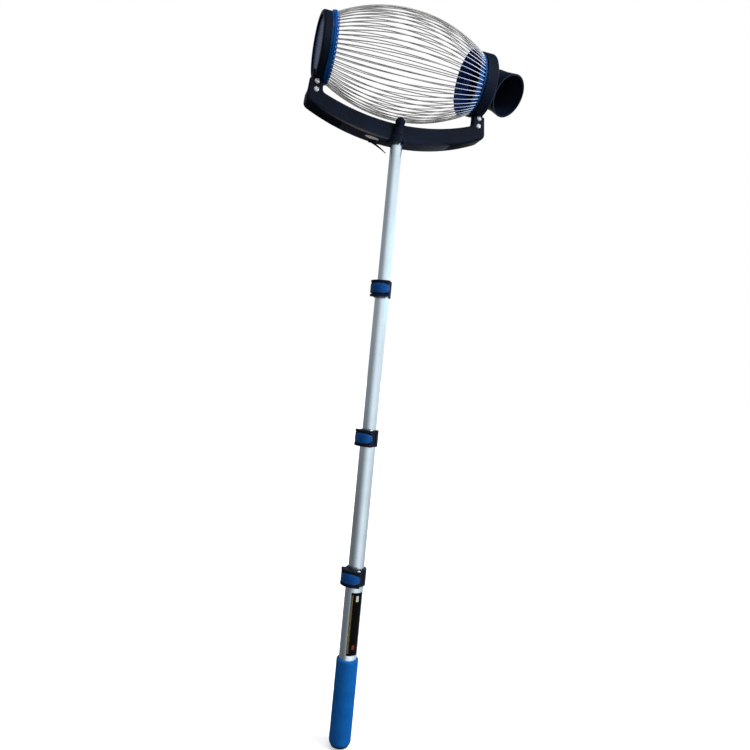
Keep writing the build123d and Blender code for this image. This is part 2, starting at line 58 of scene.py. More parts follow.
# %% Stations in millimetres
def span(node):
    """Lowest and highest corner of a CAD node in millimetres."""
    low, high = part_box(node)
    return Vector(low) / MM, Vector(high) / MM


wires_low, wires_high = span("cage_wires")
BARREL_Z = (wires_low.z + wires_high.z) / 2
BULGE_RADIUS = (wires_high.z - wires_low.z) / 2
TUBES = ("handle_tube", "lower_tube", "middle_tube", "upper_tube")
STAGES = ("handle", "lower_stage", "middle_stage", "head")
CLAMPS = ("lower_clamp", "middle_clamp", "upper_clamp")
print("barrel axis at", round(BARREL_Z, 1), "bulge radius", round(BULGE_RADIUS, 1))

# %% [markdown]
# ## Helpers for nodes and colours
# Colours are picked as sRGB hex values, but shaders calculate in linear light, so one function converts
# them.  One other function adds a node, sets it up and links it; everything below is built with it.  A
# node's settings hide the sockets that it doesn't need, so only the sockets in use are looked at.

# %% Colour and node helpers
def linear(hex_colour):
    """An sRGB hex colour as linear RGBA."""
    channels = [int(hex_colour[i:i + 2], 16) / 255 for i in (1, 3, 5)]
    return tuple(c / 12.92 if c <= 0.04045 else ((c + 0.055) / 1.055) ** 2.4 for c in channels) + (1,)


def add_node(tree, kind, inputs=None, stops=(), **settings):
    """Add a node with its settings, the (position, hex colour) stops of a ramp, and its inputs.

    Inputs go by name or number.  A node as an input means its first output, a list means several links.
    """
    node = tree.nodes.new(kind)
    for name, value in settings.items():
        setattr(node, name, value)
    for number, (position, colour) in enumerate(stops):
        node.color_ramp.elements[number].position = position
        node.color_ramp.elements[number].color = linear(colour)
    used = [socket for socket in node.inputs if socket.enabled]
    for key, value in (inputs or {}).items():
        socket = used[key] if isinstance(key, int) else next(s for s in used if s.name == key)
        for source in value if isinstance(value, list) else [value]:
            if isinstance(source, bpy.types.Node):
                source = next(output for output in source.outputs if output.enabled)
            if isinstance(source, bpy.types.NodeSocket):
                tree.links.new(source, socket)
            else:
                socket.default_value = source
    return node


def new_material(name):
    """A material with an empty tree."""
    material = bpy.data.materials.new(name)
    material.use_nodes = True
    material.node_tree.nodes.clear()
    return material, material.node_tree


def shaded(material, inputs):
    """Close a material's tree with a shader that has these inputs, and an output."""
    shader = add_node(material.node_tree, "ShaderNodeBsdfPrincipled", inputs)
    add_node(material.node_tree, "ShaderNodeOutputMaterial", {"Surface": shader})
    print("made", material.name)
    return material


def per_mm(size_mm):
    """Texture scale at which one feature is this many millimetres across."""
    return 1 / (size_mm * MM)


# %% [markdown]
# ## Black moulded plastic
# The yoke, end rings, clamps and spout are injection-moulded from black glass-filled nylon.  The mould was
# spark-eroded, which leaves a fine matt grain of a few tenths of a millimetre, drawn a little coarser here
# so that it shows.  The flow of the melt leaves soft patches that are more or less shiny, and a slight blue
# cast is in the pigment.  Where a mesh carries the attribute for it, a paler, browner highlight is painted
# into the colour.

# %% Black nylon
def black_nylon():
    material, tree = new_material("black_glass_filled_nylon")
    place = add_node(tree, "ShaderNodeTexCoord").outputs["Object"]
    flow = add_node(tree, "ShaderNodeTexNoise", {"Vector": place, "Scale": per_mm(38), "Detail": 3.0})
    grain = add_node(tree, "ShaderNodeTexNoise", {"Vector": place, "Scale": per_mm(0.7), "Detail": 2.0})
    colour = add_node(tree, "ShaderNodeValToRGB", {"Fac": flow}, [(0.3, "#0A111F"), (0.7, "#101A2C")])
    # Painted highlight: where the attribute is set, the colour is mixed towards a pale brown.
    rubbed = add_node(tree, "ShaderNodeAttribute", attribute_name="rubbed").outputs["Fac"]
    wear_and_highlight = add_node(tree, "ShaderNodeMix", {
        "Factor": rubbed, "A": colour, "B": linear("#6E6864")}, data_type="RGBA")
    sheen = add_node(tree, "ShaderNodeMapRange", {
        "Value": flow, "From Min": 0.3, "From Max": 0.7, "To Min": 0.46, "To Max": 0.6})
    bump = add_node(tree, "ShaderNodeBump", {"Height": grain, "Strength": 0.25, "Distance": 0.08 * MM})
    return shaded(material, {
        "Base Color": wear_and_highlight, "Roughness": sheen, "Normal": bump, "IOR": 1.52, "Specular IOR Level": 0.1})


NYLON = black_nylon()

# %% [markdown]
# ## Blue moulded plastic
# Hubs, wire rings and the plates of the levers are ABS, dyed through and moulded in a polished tool, so
# they are glossy.  Handling leaves fine dull scuffs, which show as small changes of roughness.  Where a
# mesh carries the attribute for it, shade is painted in as a darker navy.

# %% Blue ABS
def blue_abs():
    material, tree = new_material("blue_dyed_abs")
    place = add_node(tree, "ShaderNodeTexCoord").outputs["Object"]
    cloud = add_node(tree, "ShaderNodeTexNoise", {"Vector": place, "Scale": per_mm(24), "Detail": 3.0})
    scuff = add_node(tree, "ShaderNodeTexNoise", {"Vector": place, "Scale": per_mm(2.2), "Detail": 5.0})
    colour = add_node(tree, "ShaderNodeValToRGB", {"Fac": cloud}, [(0.3, "#07468C"), (0.7, "#0C58A4")])
    stained = add_node(tree, "ShaderNodeAttribute", attribute_name="stained").outputs["Fac"]
    # Painted shade: where the attribute is set, the colour is mixed towards dark navy.
    with_inner_shade = add_node(tree, "ShaderNodeMix", {
        "Factor": stained, "A": colour, "B": linear("#0A2E78")}, data_type="RGBA")
    dull = add_node(tree, "ShaderNodeMapRange", {
        "Value": scuff, "From Min": 0.4, "From Max": 0.75, "To Min": 0.2, "To Max": 0.38})
    ripple = add_node(tree, "ShaderNodeBump", {"Height": cloud, "Strength": 0.2, "Distance": 0.3 * MM})
    return shaded(material, {
        "Base Color": with_inner_shade, "Roughness": dull, "Normal": ripple, "IOR": 1.54, "Specular IOR Level": 0.12})


ABS = blue_abs()

# %% [markdown]
# ## Anodised aluminium tube
# The pole's tubes are drawn through a die and then clear anodised.  Drawing leaves long faint lines along
# the tube, so a noise is stretched along Z: fine across the tube, very long along it.  Real lines are a few
# hundredths of a millimetre wide; here they are drawn coarser so that they show.

# %% Anodised aluminium
def anodised_aluminium():
    material, tree = new_material("clear_anodised_aluminium")
    place = add_node(tree, "ShaderNodeTexCoord").outputs["Object"]
    stretched = add_node(tree, "ShaderNodeMapping", {"Vector": place, "Scale": (1, 1, 0.006)})
    lines = add_node(tree, "ShaderNodeTexNoise", {"Vector": stretched, "Scale": per_mm(0.8), "Detail": 4.0})
    bloom = add_node(tree, "ShaderNodeTexNoise", {"Vector": place, "Scale": per_mm(30), "Detail": 3.0})
    colour = add_node(tree, "ShaderNodeValToRGB", {"Fac": bloom}, [(0.3, "#D2E4F0"), (0.7, "#DCEDF8")])
    satin = add_node(tree, "ShaderNodeMapRange", {
        "Value": lines, "From Min": 0.3, "From Max": 0.7, "To Min": 0.2, "To Max": 0.3})
    bump = add_node(tree, "ShaderNodeBump", {"Height": lines, "Strength": 0.12, "Distance": 0.05 * MM})
    return shaded(material, {"Base Color": colour, "Roughness": satin, "Normal": bump, "Metallic": 1.0})


ALUMINIUM = anodised_aluminium()

# %% [markdown]
# ## Spring steel and zinc plate
# The wires are bright hard-drawn spring steel with a thin oil film in places.  Pins and screws are zinc
# plated and passivated: a milky skin lies on the metal, so they are duller, paler and only half a mirror.
# Both are the same recipe with other numbers.

# %% Steels
def steel(name, patch_mm, dark, light, smooth, dull, metallic):
    material, tree = new_material(name)
    place = add_node(tree, "ShaderNodeTexCoord").outputs["Object"]
    film = add_node(tree, "ShaderNodeTexNoise", {"Vector": place, "Scale": per_mm(patch_mm), "Detail": 4.0})
    colour = add_node(tree, "ShaderNodeValToRGB", {"Fac": film}, [(0.35, dark), (0.65, light)])
    gloss = add_node(tree, "ShaderNodeMapRange", {
        "Value": film, "From Min": 0.3, "From Max": 0.7, "To Min": dull, "To Max": smooth})
    return shaded(material, {"Base Color": colour, "Roughness": gloss, "Metallic": metallic})


SPRING_STEEL = steel("hard_drawn_spring_steel", 14, "#DCDCDA", "#EEEEEC", 0.06, 0.14, 1.0)
ZINC = steel("bright_zinc_plated_steel", 1.6, "#EEF0F3", "#FCFDFD", 0.36, 0.5, 0.5)

# %% [markdown]
# ## Foam of the grip
# The grip is closed-cell EVA foam, extruded as a sleeve and ground to size.  Grinding opens the cells, so
# the skin is matt and full of pores about half a millimetre wide; a cell pattern gives them, drawn a little
# coarser so that they show.  Hands leave slightly darker, flattened areas.  The butt is darkened with
# painted shade towards its bottom.

# %% EVA foam
# Heights in millimetres over which the painted shade on the butt fades out.
BUTT_SHADE_FROM, BUTT_SHADE_TO = 7.5, 11.0


def eva_foam():
    material, tree = new_material("blue_eva_foam")
    place = add_node(tree, "ShaderNodeTexCoord").outputs["Object"]
    cells = add_node(tree, "ShaderNodeTexVoronoi", {"Vector": place, "Scale": per_mm(0.8)})
    wear_and_highlight = add_node(tree, "ShaderNodeTexNoise", {"Vector": place, "Scale": per_mm(22), "Detail": 4.0})
    tint = add_node(tree, "ShaderNodeValToRGB", {"Fac": wear_and_highlight}, [(0.3, "#055EAE"), (0.7, "#096CC2")])
    pore = add_node(tree, "ShaderNodeValToRGB", {"Fac": cells}, [(0.0, "#FFFFFF"), (0.9, "#BFC4CC")])
    porous = add_node(tree, "ShaderNodeMix", {"Factor": 0.55, "A": tint, "B": pore},
                      data_type="RGBA", blend_type="MULTIPLY")
    # Painted shade: the colour darkens towards the bottom of the butt.
    height = add_node(tree, "ShaderNodeSeparateXYZ", {"Vector": place}).outputs["Z"]
    above_butt_shade = add_node(tree, "ShaderNodeMapRange", {
        "Value": height, "From Min": BUTT_SHADE_FROM * MM, "From Max": BUTT_SHADE_TO * MM})
    butt_shade_ramp = add_node(tree, "ShaderNodeValToRGB", {"Fac": above_butt_shade}, [(0.0, "#16202C"), (1.0, "#FFFFFF")])
    with_butt_shade = add_node(tree, "ShaderNodeMix", {"Factor": 1.0, "A": porous, "B": butt_shade_ramp},
                      data_type="RGBA", blend_type="MULTIPLY")
    bump = add_node(tree, "ShaderNodeBump", {
        "Height": cells, "Strength": 0.5, "Distance": 0.25 * MM}, invert=True)
    return shaded(material, {
        "Base Color": with_butt_shade, "Normal": bump, "Roughness": 0.82, "IOR": 1.45, "Specular IOR Level": 0.1})


FOAM = eva_foam()

# %% [markdown]
# ## Helpers for meshes
# Most pieces are turned: an outline of (along, radius) points is spun about the pole or the barrel's axis.
# Corners of an outline are softened first, because no moulded edge is perfectly sharp and the soft edge is
# what catches the light.

# %% Outline helpers
SOFT_SHARE, SOFT_STEPS = 0.45, 4


def eased(start, corner, end, steps):
    """Points of a curve that leaves one side of a corner and joins the other."""
    ts = [step / steps for step in range(steps + 1)]
    return [start * (1 - t) ** 2 + corner * 2 * t * (1 - t) + end * t * t for t in ts]


def softened(outline, cut):
    """Round the corners of a closed outline; corners on the axis stay as they are."""
    points = [Vector(point) for point in outline]
    soft = []
    for before, corner, after in zip(points[-1:] + points, points, points[1:] + points[:1]):
        if corner.y == 0:
            soft.append(corner)
            continue
        start = corner + (before - corner) * min(SOFT_SHARE, cut / (before - corner).length)
        end = corner + (after - corner) * min(SOFT_SHARE, cut / (after - corner).length)
        soft += eased(start, corner, end, SOFT_STEPS)
    return soft


def quarter_round(along, radius, size, steps=8):
    """Outline points of a round that ends a turned side; with a size below 0 it ends the lower side."""
    turns = [pi / 2 * step / steps for step in range(steps + 1)]
    return [(along - size * (1 - sin(t)), radius - abs(size) * (1 - cos(t))) for t in turns]


def on_pole(along, radius, angle):
    return Vector((radius * cos(angle), radius * sin(angle), along)) * MM


def on_barrel(along, radius, angle):
    return Vector((along, -radius * sin(angle), BARREL_Z + radius * cos(angle))) * MM


# %% Mesh helpers
def bridge(bm, first, second):
    """Faces between two closed rows of points; a row of one point makes a fan."""
    for i in range(max(len(first), len(second))):
        walk = ((first, i), (first, i + 1), (second, i + 1), (second, i))
        corners = list(dict.fromkeys(row[j % len(row)] for row, j in walk))
        if len(corners) > 2:
            bm.faces.new(corners)


def spin(bm, outline, place, segments=96):
    """Spin a closed outline of (along, radius) points into a closed skin."""
    rows = []
    for along, radius in outline:
        count = segments if radius > 0 else 1
        rows.append([bm.verts.new(place(along, radius, tau * i / segments)) for i in range(count)])
    for row, following in zip(rows, rows[1:] + rows[:1]):
        bridge(bm, row, following)


def piece(name, bm, material, crease=40):
    """Close a mesh as an object at the origin, smooth except over creases."""
    bmesh.ops.recalc_face_normals(bm, faces=bm.faces)
    mesh = bpy.data.meshes.new(name)
    bm.to_mesh(mesh)
    bm.free()
    mesh.shade_smooth()
    mesh.set_sharp_from_angle(angle=radians(crease))
    mesh.materials.append(material)
    obj = bpy.data.objects.new(name, mesh)
    bpy.context.collection.objects.link(obj)
    return obj


def turned(name, outline, place, material, segments=96):
    """A piece made of one spun outline."""
    bm = bmesh.new()
    spin(bm, outline, place, segments)
    return piece(name, bm, material)


def settle(obj, body, slot=None, *nodes):
    """Ride on a body and stand for any CAD nodes given; the slot is not used."""
    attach(obj, body)
    if nodes:
        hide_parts(*nodes)
    print(obj.name, "rides on", body, "with", len(obj.data.polygons), "faces")


# %% [markdown]
# ## The pole's tubes
# Each tube is a thin wall with a lightly broken edge at both ends.  Spinning the wall's outline gives a
# rounder tube than the CAD's facets, which matters because a polished tube mirrors every facet.

# %% Tubes
TUBE_WALL, TUBE_EDGE = 1.2, 0.4
for tube, stage_body in zip(TUBES, STAGES):
    low, high = span(tube)
    outer = (high.x - low.x) / 2
    wall = [(low.z, outer - TUBE_WALL), (high.z, outer - TUBE_WALL), (high.z, outer), (low.z, outer)]
    drawn = turned(f"{tube}_drawn", softened(wall, TUBE_EDGE), on_pole, ALUMINIUM)
    settle(drawn, stage_body, "anodised_tube", tube)

# %% [markdown]
# ## The foam grip
# The sleeve is soft, so it isn't left as a perfect cylinder: its rows are pressed in by a slow noise of a
# few tenths of a millimetre, the butt is a full round, and the cut rim at the top has a small one.  The
# real grip is a little shorter than its solid, so the butt begins a few millimetres up.

# %% Foam grip
GRIP_ROWS, GRIP_RIM_STEPS = 60, 5
GRIP_LIFT, GRIP_END, GRIP_SLIP = 3.6, 1.4, 0.05
GRIP_BUTT_ROUND, GRIP_RIM_ROUND = 10.0, 2.2
GRIP_DENT, DENT_LENGTH, DENT_FROM = 0.35, 16.0, 1.0
handle_low, handle_high = span("handle_tube")
HANDLE_RADIUS = (handle_high.x - handle_low.x) / 2


def grip_outline(length, radius, bore):
    """Outline from the butt's centre up the outside, over the rim and down the bore to its closed end."""
    butt = quarter_round(0, radius, -GRIP_BUTT_ROUND)[::-1]
    straight = length - GRIP_BUTT_ROUND - GRIP_RIM_ROUND
    side = [(GRIP_BUTT_ROUND + straight * row / GRIP_ROWS, radius) for row in range(1, GRIP_ROWS)]
    rim = quarter_round(length, radius, GRIP_RIM_ROUND, GRIP_RIM_STEPS)
    return [(0, 0)] + butt + side + rim + [(length, bore), (GRIP_END, bore), (GRIP_END, 0)]


def pressed(along, radius, angle):
    """A point of the foam, pressed towards the pole by a slow noise unless it lies on the tube."""
    point = on_pole(along + GRIP_LIFT, radius, angle)
    flat = Vector((point.x, point.y, 0))
    if flat.length <= (HANDLE_RADIUS + DENT_FROM) * MM:
        return point
    dent = GRIP_DENT * MM * (0.5 + 0.5 * noise.noise(point / (DENT_LENGTH * MM)))
    return point - flat.normalized() * dent


_, grip_high = span("foam_grip")
outline = grip_outline(grip_high.z - GRIP_LIFT, grip_high.x, HANDLE_RADIUS + GRIP_SLIP)
foam = turned("foam_sleeve", outline, pressed, FOAM)
settle(foam, "handle", "blue_foam", "foam_grip")

# %% [markdown]
# ## Hubs and wire rings
# Both hubs are turned forms.  The left one is closed by a disc that sits a little inside the end ring, and
# shows a band beside the ring; the right one is open, so that olives can leave, and carries a ring with a
# conical skirt under the wires.  The inner side of the right ones is darkened with painted shade.

# %% Outlines of the hubs and wire rings
left_low, left_high = span("left_hub")
ring_low, ring_high = span("left_wire_ring")
FLANGE_X, FLANGE_RADIUS, BAND_X, BAND_RADIUS = -124.2, 51.8, -127.4, 49.2
JOURNAL, SPIGOT, HUB_WALL = 41.9, 44.95, 3.0
WIRE_RING_RADIUS = (ring_high.z - ring_low.z) / 2
left_hub = [
    (left_low.x, 0), (left_low.x, JOURNAL), (BAND_X, JOURNAL), (BAND_X, BAND_RADIUS),
    (FLANGE_X, BAND_RADIUS), (FLANGE_X, FLANGE_RADIUS), (ring_low.x, FLANGE_RADIUS),
    (ring_low.x, SPIGOT), (left_high.x, SPIGOT),
    (left_high.x, SPIGOT - HUB_WALL), (ring_low.x, JOURNAL - HUB_WALL),
    (left_low.x + HUB_WALL, JOURNAL - HUB_WALL), (left_low.x + HUB_WALL, 0),
]
left_ring = [(ring_low.x, SPIGOT), (ring_low.x, WIRE_RING_RADIUS),
             (ring_high.x, WIRE_RING_RADIUS), (ring_high.x, SPIGOT)]

right_low, right_high = span("right_hub")
skirt_low, skirt_high = span("right_wire_ring")
RIGHT_FLANGE_RADIUS, RIGHT_FLANGE_WIDTH, RIGHT_SPIGOT = 47.4, 3.6, 43.45
SKIRT_ROOT_RADIUS, SKIRT_WALL = 45.4, 2.0
SKIRT_TIP_RADIUS = (skirt_high.z - skirt_low.z) / 2
SKIRT_ROOT_X = skirt_high.x - RIGHT_FLANGE_WIDTH
right_hub = [
    (right_high.x, JOURNAL - HUB_WALL), (right_high.x, JOURNAL), (skirt_high.x, JOURNAL),
    (skirt_high.x, RIGHT_SPIGOT), (SKIRT_ROOT_X, RIGHT_SPIGOT), (SKIRT_ROOT_X, RIGHT_SPIGOT - HUB_WALL),
    (right_low.x, RIGHT_SPIGOT - HUB_WALL), (right_low.x, RIGHT_SPIGOT - 2 * HUB_WALL),
]
right_ring = [
    (skirt_high.x, RIGHT_SPIGOT), (skirt_high.x, RIGHT_FLANGE_RADIUS),
    (SKIRT_ROOT_X, RIGHT_FLANGE_RADIUS), (SKIRT_ROOT_X, SKIRT_ROOT_RADIUS),
    (skirt_low.x, SKIRT_TIP_RADIUS), (skirt_low.x, SKIRT_TIP_RADIUS - SKIRT_WALL),
    (SKIRT_ROOT_X, RIGHT_SPIGOT),
]
print("left ring's radius", round(WIRE_RING_RADIUS, 1), "skirt's tip", round(SKIRT_TIP_RADIUS, 1))

# %% Hubs and wire rings
def paint_inner_shade(obj):
    """Mark the points that face the barrel's axis, which get painted shade."""
    stained = obj.data.attributes.new("stained", "FLOAT", "POINT")
    for vert, mark in zip(obj.data.vertices, stained.data):
        outwards = Vector((0, vert.co.y, vert.co.z - BARREL_Z * MM)).normalized()
        mark.value = max(0.0, -outwards.dot(vert.normal))


# A node of the cage, its outline, and how far its corners are rounded.
BLUE_TURNINGS = (("left_hub", left_hub, 0.7), ("left_wire_ring", left_ring, 0.9),
                 ("right_hub", right_hub, 0.6), ("right_wire_ring", right_ring, 0.5))
for node, outline, edge in BLUE_TURNINGS:
    blue = turned(f"{node}_moulded", softened(outline, edge), on_barrel, ABS)
    settle(blue, "cage", "blue_plastic", node)
    # The right pieces get painted shade on the faces that turn towards the axis.
    if node.startswith("right"):
        paint_inner_shade(blue)

# %% [markdown]
# ## A tree that grows the cage
# Fifty-four wires that differ only a little are a job for Geometry Nodes.  One arc through three points is
# copied around the axis.  Each copy gets its own small sway and slack, strongest in the middle, because
# spring wires never lie exactly alike; then a circle is swept along it.

# %% Helpers for geometry trees
SOCKET_OF = {int: "NodeSocketInt", float: "NodeSocketFloat", Vector: "NodeSocketVector",
             bpy.types.Material: "NodeSocketMaterial"}


def geometry_tree(name, build, sizes):
    """A tree with one input for each of these sizes; what build makes is realized, smoothed and painted."""
    tree = bpy.data.node_groups.new(name, "GeometryNodeTree")
    for label, value in sizes.items():
        tree.interface.new_socket(label, in_out="INPUT", socket_type=SOCKET_OF[type(value)])
    tree.interface.new_socket("Mesh", in_out="OUTPUT", socket_type="NodeSocketGeometry")
    given = add_node(tree, "NodeGroupInput").outputs
    real = add_node(tree, "GeometryNodeRealizeInstances", {"Geometry": build(tree, given)})
    smooth = add_node(tree, "GeometryNodeSetShadeSmooth", {"Geometry": real})
    paint = add_node(tree, "GeometryNodeSetMaterial", {"Geometry": smooth, "Material": given["Material"]})
    add_node(tree, "NodeGroupOutput", {"Mesh": paint})
    return tree


def grown(name, tree, sizes):
    """Run a tree once with these sizes and keep the result as a plain mesh."""
    obj = bpy.data.objects.new(name, bpy.data.meshes.new(name))
    modifier = obj.modifiers.new("grow", "NODES")
    modifier.node_group = tree
    for item in tree.interface.items_tree:
        if item.in_out == "INPUT":
            modifier[item.identifier] = sizes[item.name]
    bpy.context.collection.objects.link(obj)
    evaluated = obj.evaluated_get(bpy.context.evaluated_depsgraph_get())
    mesh = bpy.data.meshes.new_from_object(evaluated)
    obj.modifiers.remove(modifier)
    obj.data = mesh
    return obj


# %% Tree of the bowed wires
ARC_POINTS, WIRE_SIDES = 30, 10


def bowed_wires(tree, given):
    arc = add_node(tree, "GeometryNodeCurveArc", {
        "Resolution": ARC_POINTS, "Start": given["Left end"], "Middle": given["Middle"],
        "End": given["Right end"]}, mode="POINTS")
    copies = add_node(tree, "GeometryNodeDuplicateElements", {
        "Geometry": arc, "Amount": given["Wires"]}, domain="SPLINE")
    index = copies.outputs["Duplicate Index"]
    along = add_node(tree, "GeometryNodeSplineParameter")
    half_turn = add_node(tree, "ShaderNodeMath", {0: along, 1: pi}, operation="MULTIPLY")
    bulge = add_node(tree, "ShaderNodeMath", {0: half_turn}, operation="SINE")
    backwards = add_node(tree, "ShaderNodeMath", {0: given["Sway"], 1: -1.0}, operation="MULTIPLY")
    sway = add_node(tree, "FunctionNodeRandomValue", {
        "Min": backwards, "Max": given["Sway"], "ID": index, "Seed": given["Seed"]}, data_type="FLOAT")
    next_seed = add_node(tree, "ShaderNodeMath", {0: given["Seed"], 1: 1.0}, operation="ADD")
    slack = add_node(tree, "FunctionNodeRandomValue", {
        "Min": 0.0, "Max": given["Slack"], "ID": index, "Seed": next_seed}, data_type="FLOAT")
    step = add_node(tree, "ShaderNodeMath", {0: tau, 1: given["Wires"]}, operation="DIVIDE")
    seat = add_node(tree, "ShaderNodeMath", {0: index, 1: step}, operation="MULTIPLY")
    angle = add_node(tree, "ShaderNodeMath", {0: sway, 1: bulge, 2: seat}, operation="MULTIPLY_ADD")
    sag = add_node(tree, "ShaderNodeMath", {0: slack, 1: bulge}, operation="MULTIPLY")
    place = add_node(tree, "GeometryNodeInputPosition")
    sagging = add_node(tree, "ShaderNodeVectorMath", {
        0: sag, 1: (0, 0, -1), 2: place}, operation="MULTIPLY_ADD")
    round_axis = add_node(tree, "ShaderNodeVectorRotate", {
        "Vector": sagging, "Angle": angle}, rotation_type="X_AXIS")
    bowed = add_node(tree, "GeometryNodeSetPosition", {
        "Geometry": copies, "Position": round_axis, "Offset": given["Axis"]})
    section = add_node(tree, "GeometryNodeCurvePrimitiveCircle", {
        "Resolution": WIRE_SIDES, "Radius": given["Wire radius"]}, mode="RADIUS")
    return add_node(tree, "GeometryNodeCurveToMesh", {
        "Curve": bowed, "Profile Curve": section, "Fill Caps": True})


# %% Cage of wires
WIRES, WIRE_RADIUS, WIRE_SEED = 54, 0.8, 4
WIRE_SWAY, WIRE_SLACK, WIRE_END_GAP = radians(1.0), 0.6, 0.3
LEFT_SEAT, RIGHT_SEAT = 48.0, 45.5
wire_sizes = {
    "Wires": WIRES,
    "Left end": Vector((wires_low.x + WIRE_END_GAP, 0, LEFT_SEAT)) * MM,
    "Middle": Vector((0, 0, BULGE_RADIUS - WIRE_RADIUS)) * MM,
    "Right end": Vector((wires_high.x - WIRE_END_GAP, 0, RIGHT_SEAT)) * MM,
    "Wire radius": WIRE_RADIUS * MM,
    "Sway": WIRE_SWAY,
    "Slack": WIRE_SLACK * MM,
    "Axis": Vector((0, 0, BARREL_Z)) * MM,
    "Seed": WIRE_SEED,
    "Material": SPRING_STEEL,
}
cage = grown("spring_wires", geometry_tree("bowed_wires", bowed_wires, wire_sizes), wire_sizes)
settle(cage, "cage", "spring_steel", "cage_wires")

# %% [markdown]
# ## Wire ends on the left ring
# Each wire is staked into the left ring from outside, which leaves a row of small bright beads round its
# rim, one for each wire.  A small ball is placed on every point of a circle.

# %% Staked ends
BEAD_RADIUS, BEAD_SINK = 0.75, 0.3


def staked_ends(tree, given):
    circle = add_node(tree, "GeometryNodeMeshCircle", {
        "Vertices": given["Beads"], "Radius": given["Ring radius"]})
    upright = add_node(tree, "GeometryNodeTransform", {
        "Geometry": circle, "Rotation": (0, pi / 2, 0), "Translation": given["Centre"]})
    bead = add_node(tree, "GeometryNodeMeshIcoSphere", {"Radius": given["Bead radius"], "Subdivisions": 2})
    return add_node(tree, "GeometryNodeInstanceOnPoints", {"Points": upright, "Instance": bead})


bead_sizes = {
    "Beads": WIRES,
    "Bead radius": BEAD_RADIUS * MM,
    "Ring radius": (WIRE_RING_RADIUS - BEAD_SINK) * MM,
    "Centre": Vector(((ring_low.x + ring_high.x) / 2, 0, BARREL_Z)) * MM,
    "Material": ZINC,
}
beads = grown("staked_wire_ends", geometry_tree("staked_ends", staked_ends, bead_sizes), bead_sizes)
settle(beads, "cage", "spring_steel")

# %% [markdown]
# ## End rings
# Each end ring is a turned rim with a broad round on its outer edge.  A foot drops from it into the arm of
# the yoke, and a web over the foot's root stiffens it.  The right ring is a little wider: behind its lip
# lies the wall in which the spout turns.

# %% End rings
RING_RADIUS, RING_BORE, RING_ROUND, RING_SEGMENTS = 49.5, 42.0, 3.5, 128
FOOT_INNER_X, FOOT_OUTER_X, WEB_X = 127.8, 142.2, 137.4
FOOT_FRONT, FOOT_BACK, FOOT_EDGE = -1.0, 4.7, 0.6
FOOT_BOTTOM, FOOT_TOP, WEB_BOTTOM, WEB_TOP = 1002.0, 1031.0, 1030.0, 1041.0
OUTLET_WALL, OUTLET_WALL_EDGE, OUTLET_WALL_SINK, NECK_BORE = (136.5, 139.5), 0.4, 0.5, 31.1


def rectangle(low, high):
    """The four corners of a rectangle between two corners."""
    return [(low[0], low[1]), (high[0], low[1]), (high[0], high[1]), (low[0], high[1])]


def foot(bm, side):
    """Foot under the rim and the web over its root, from outlines of (x, z) points."""
    under = rectangle((FOOT_INNER_X, FOOT_BOTTOM), (FOOT_OUTER_X, FOOT_TOP))
    web = rectangle((WEB_X, WEB_BOTTOM), (FOOT_OUTER_X, WEB_TOP))
    for outline, edge in ((under, FOOT_EDGE), (web, RING_ROUND)):
        shape = softened(outline, edge)
        front, back = ([bm.verts.new(Vector((side * p.x, y, p.y)) * MM) for p in shape]
                       for y in (FOOT_FRONT, FOOT_BACK))
        bm.faces.new(front)
        bm.faces.new(back)
        bridge(bm, front, back)


def end_ring(node, side, inner_x, outer_x):
    bm = bmesh.new()
    rim = quarter_round(side * outer_x, RING_RADIUS, side * RING_ROUND)
    rim = [(side * inner_x, RING_BORE), (side * inner_x, RING_RADIUS)] + rim + [(side * outer_x, RING_BORE)]
    spin(bm, rim, on_barrel, RING_SEGMENTS)
    if side > 0:
        near, far = OUTLET_WALL
        wall = rectangle((near, NECK_BORE), (far, RING_BORE + OUTLET_WALL_SINK))
        spin(bm, softened(wall, OUTLET_WALL_EDGE), on_barrel, RING_SEGMENTS)
    foot(bm, side)
    settle(piece(f"{node}_moulded", bm, NYLON), "head", "black_plastic", node)


LEFT_RING_X, RIGHT_RING_X = (127.7, 139.5), (123.0, span("right_end_ring")[1].x)
end_ring("left_end_ring", -1, *LEFT_RING_X)
end_ring("right_end_ring", 1, *RIGHT_RING_X)

# %% [markdown]
# ## The yoke
# The yoke is a moulded U-shaped channel: a bowed bar with two arms, open at the back and stiffened by ribs.
# It is drawn as a front outline with arcs for the bar, then built in rows: back edge, side, a rounded front
# edge, and the flat front.  A second skin inside it makes the channel.  The round under the bar carries a
# painted highlight, so its points carry its strength as an attribute for the nylon.

# %% Yoke outline
ARM_INNER_X, ARM_OUTER_X, ARM_SPLAY = 124.5, 149.0, 3.5
BAR_BOTTOM, BAR_TOP, BAR_RISE, BAR_TOP_RISE = 957.5, 986.0, 35.5, 23.5
ARM_TOP = BARREL_Z - RING_RADIUS - 0.5
ARM_SHOULDER, SHOULDER_STEP = ARM_TOP - 17.0, 0.1
ARC_STEPS, LOWER_ARC_END, UPPER_ARC_END = 48, ARM_OUTER_X - 9, ARM_INNER_X - 8
OUTER_CORNER, INNER_CORNER, CORNER_STEPS = 7, 5, 8


def bow(half_width, rise, base, x):
    """Height of an arc that rises this much over its half width."""
    radius = (half_width ** 2 + rise ** 2) / (2 * rise)
    return base + radius - sqrt(radius ** 2 - x ** 2)


def yoke_bottom(x):
    return bow(ARM_OUTER_X, BAR_RISE, BAR_BOTTOM, x)


def yoke_top(x):
    return bow(ARM_INNER_X, BAR_TOP_RISE, BAR_TOP, x)


def rounded_corner(before, corner, after, radius):
    """Points of a soft corner between two neighbours."""
    start = corner + (before - corner).normalized() * radius
    end = corner + (after - corner).normalized() * radius
    return eased(start, corner, end, CORNER_STEPS)


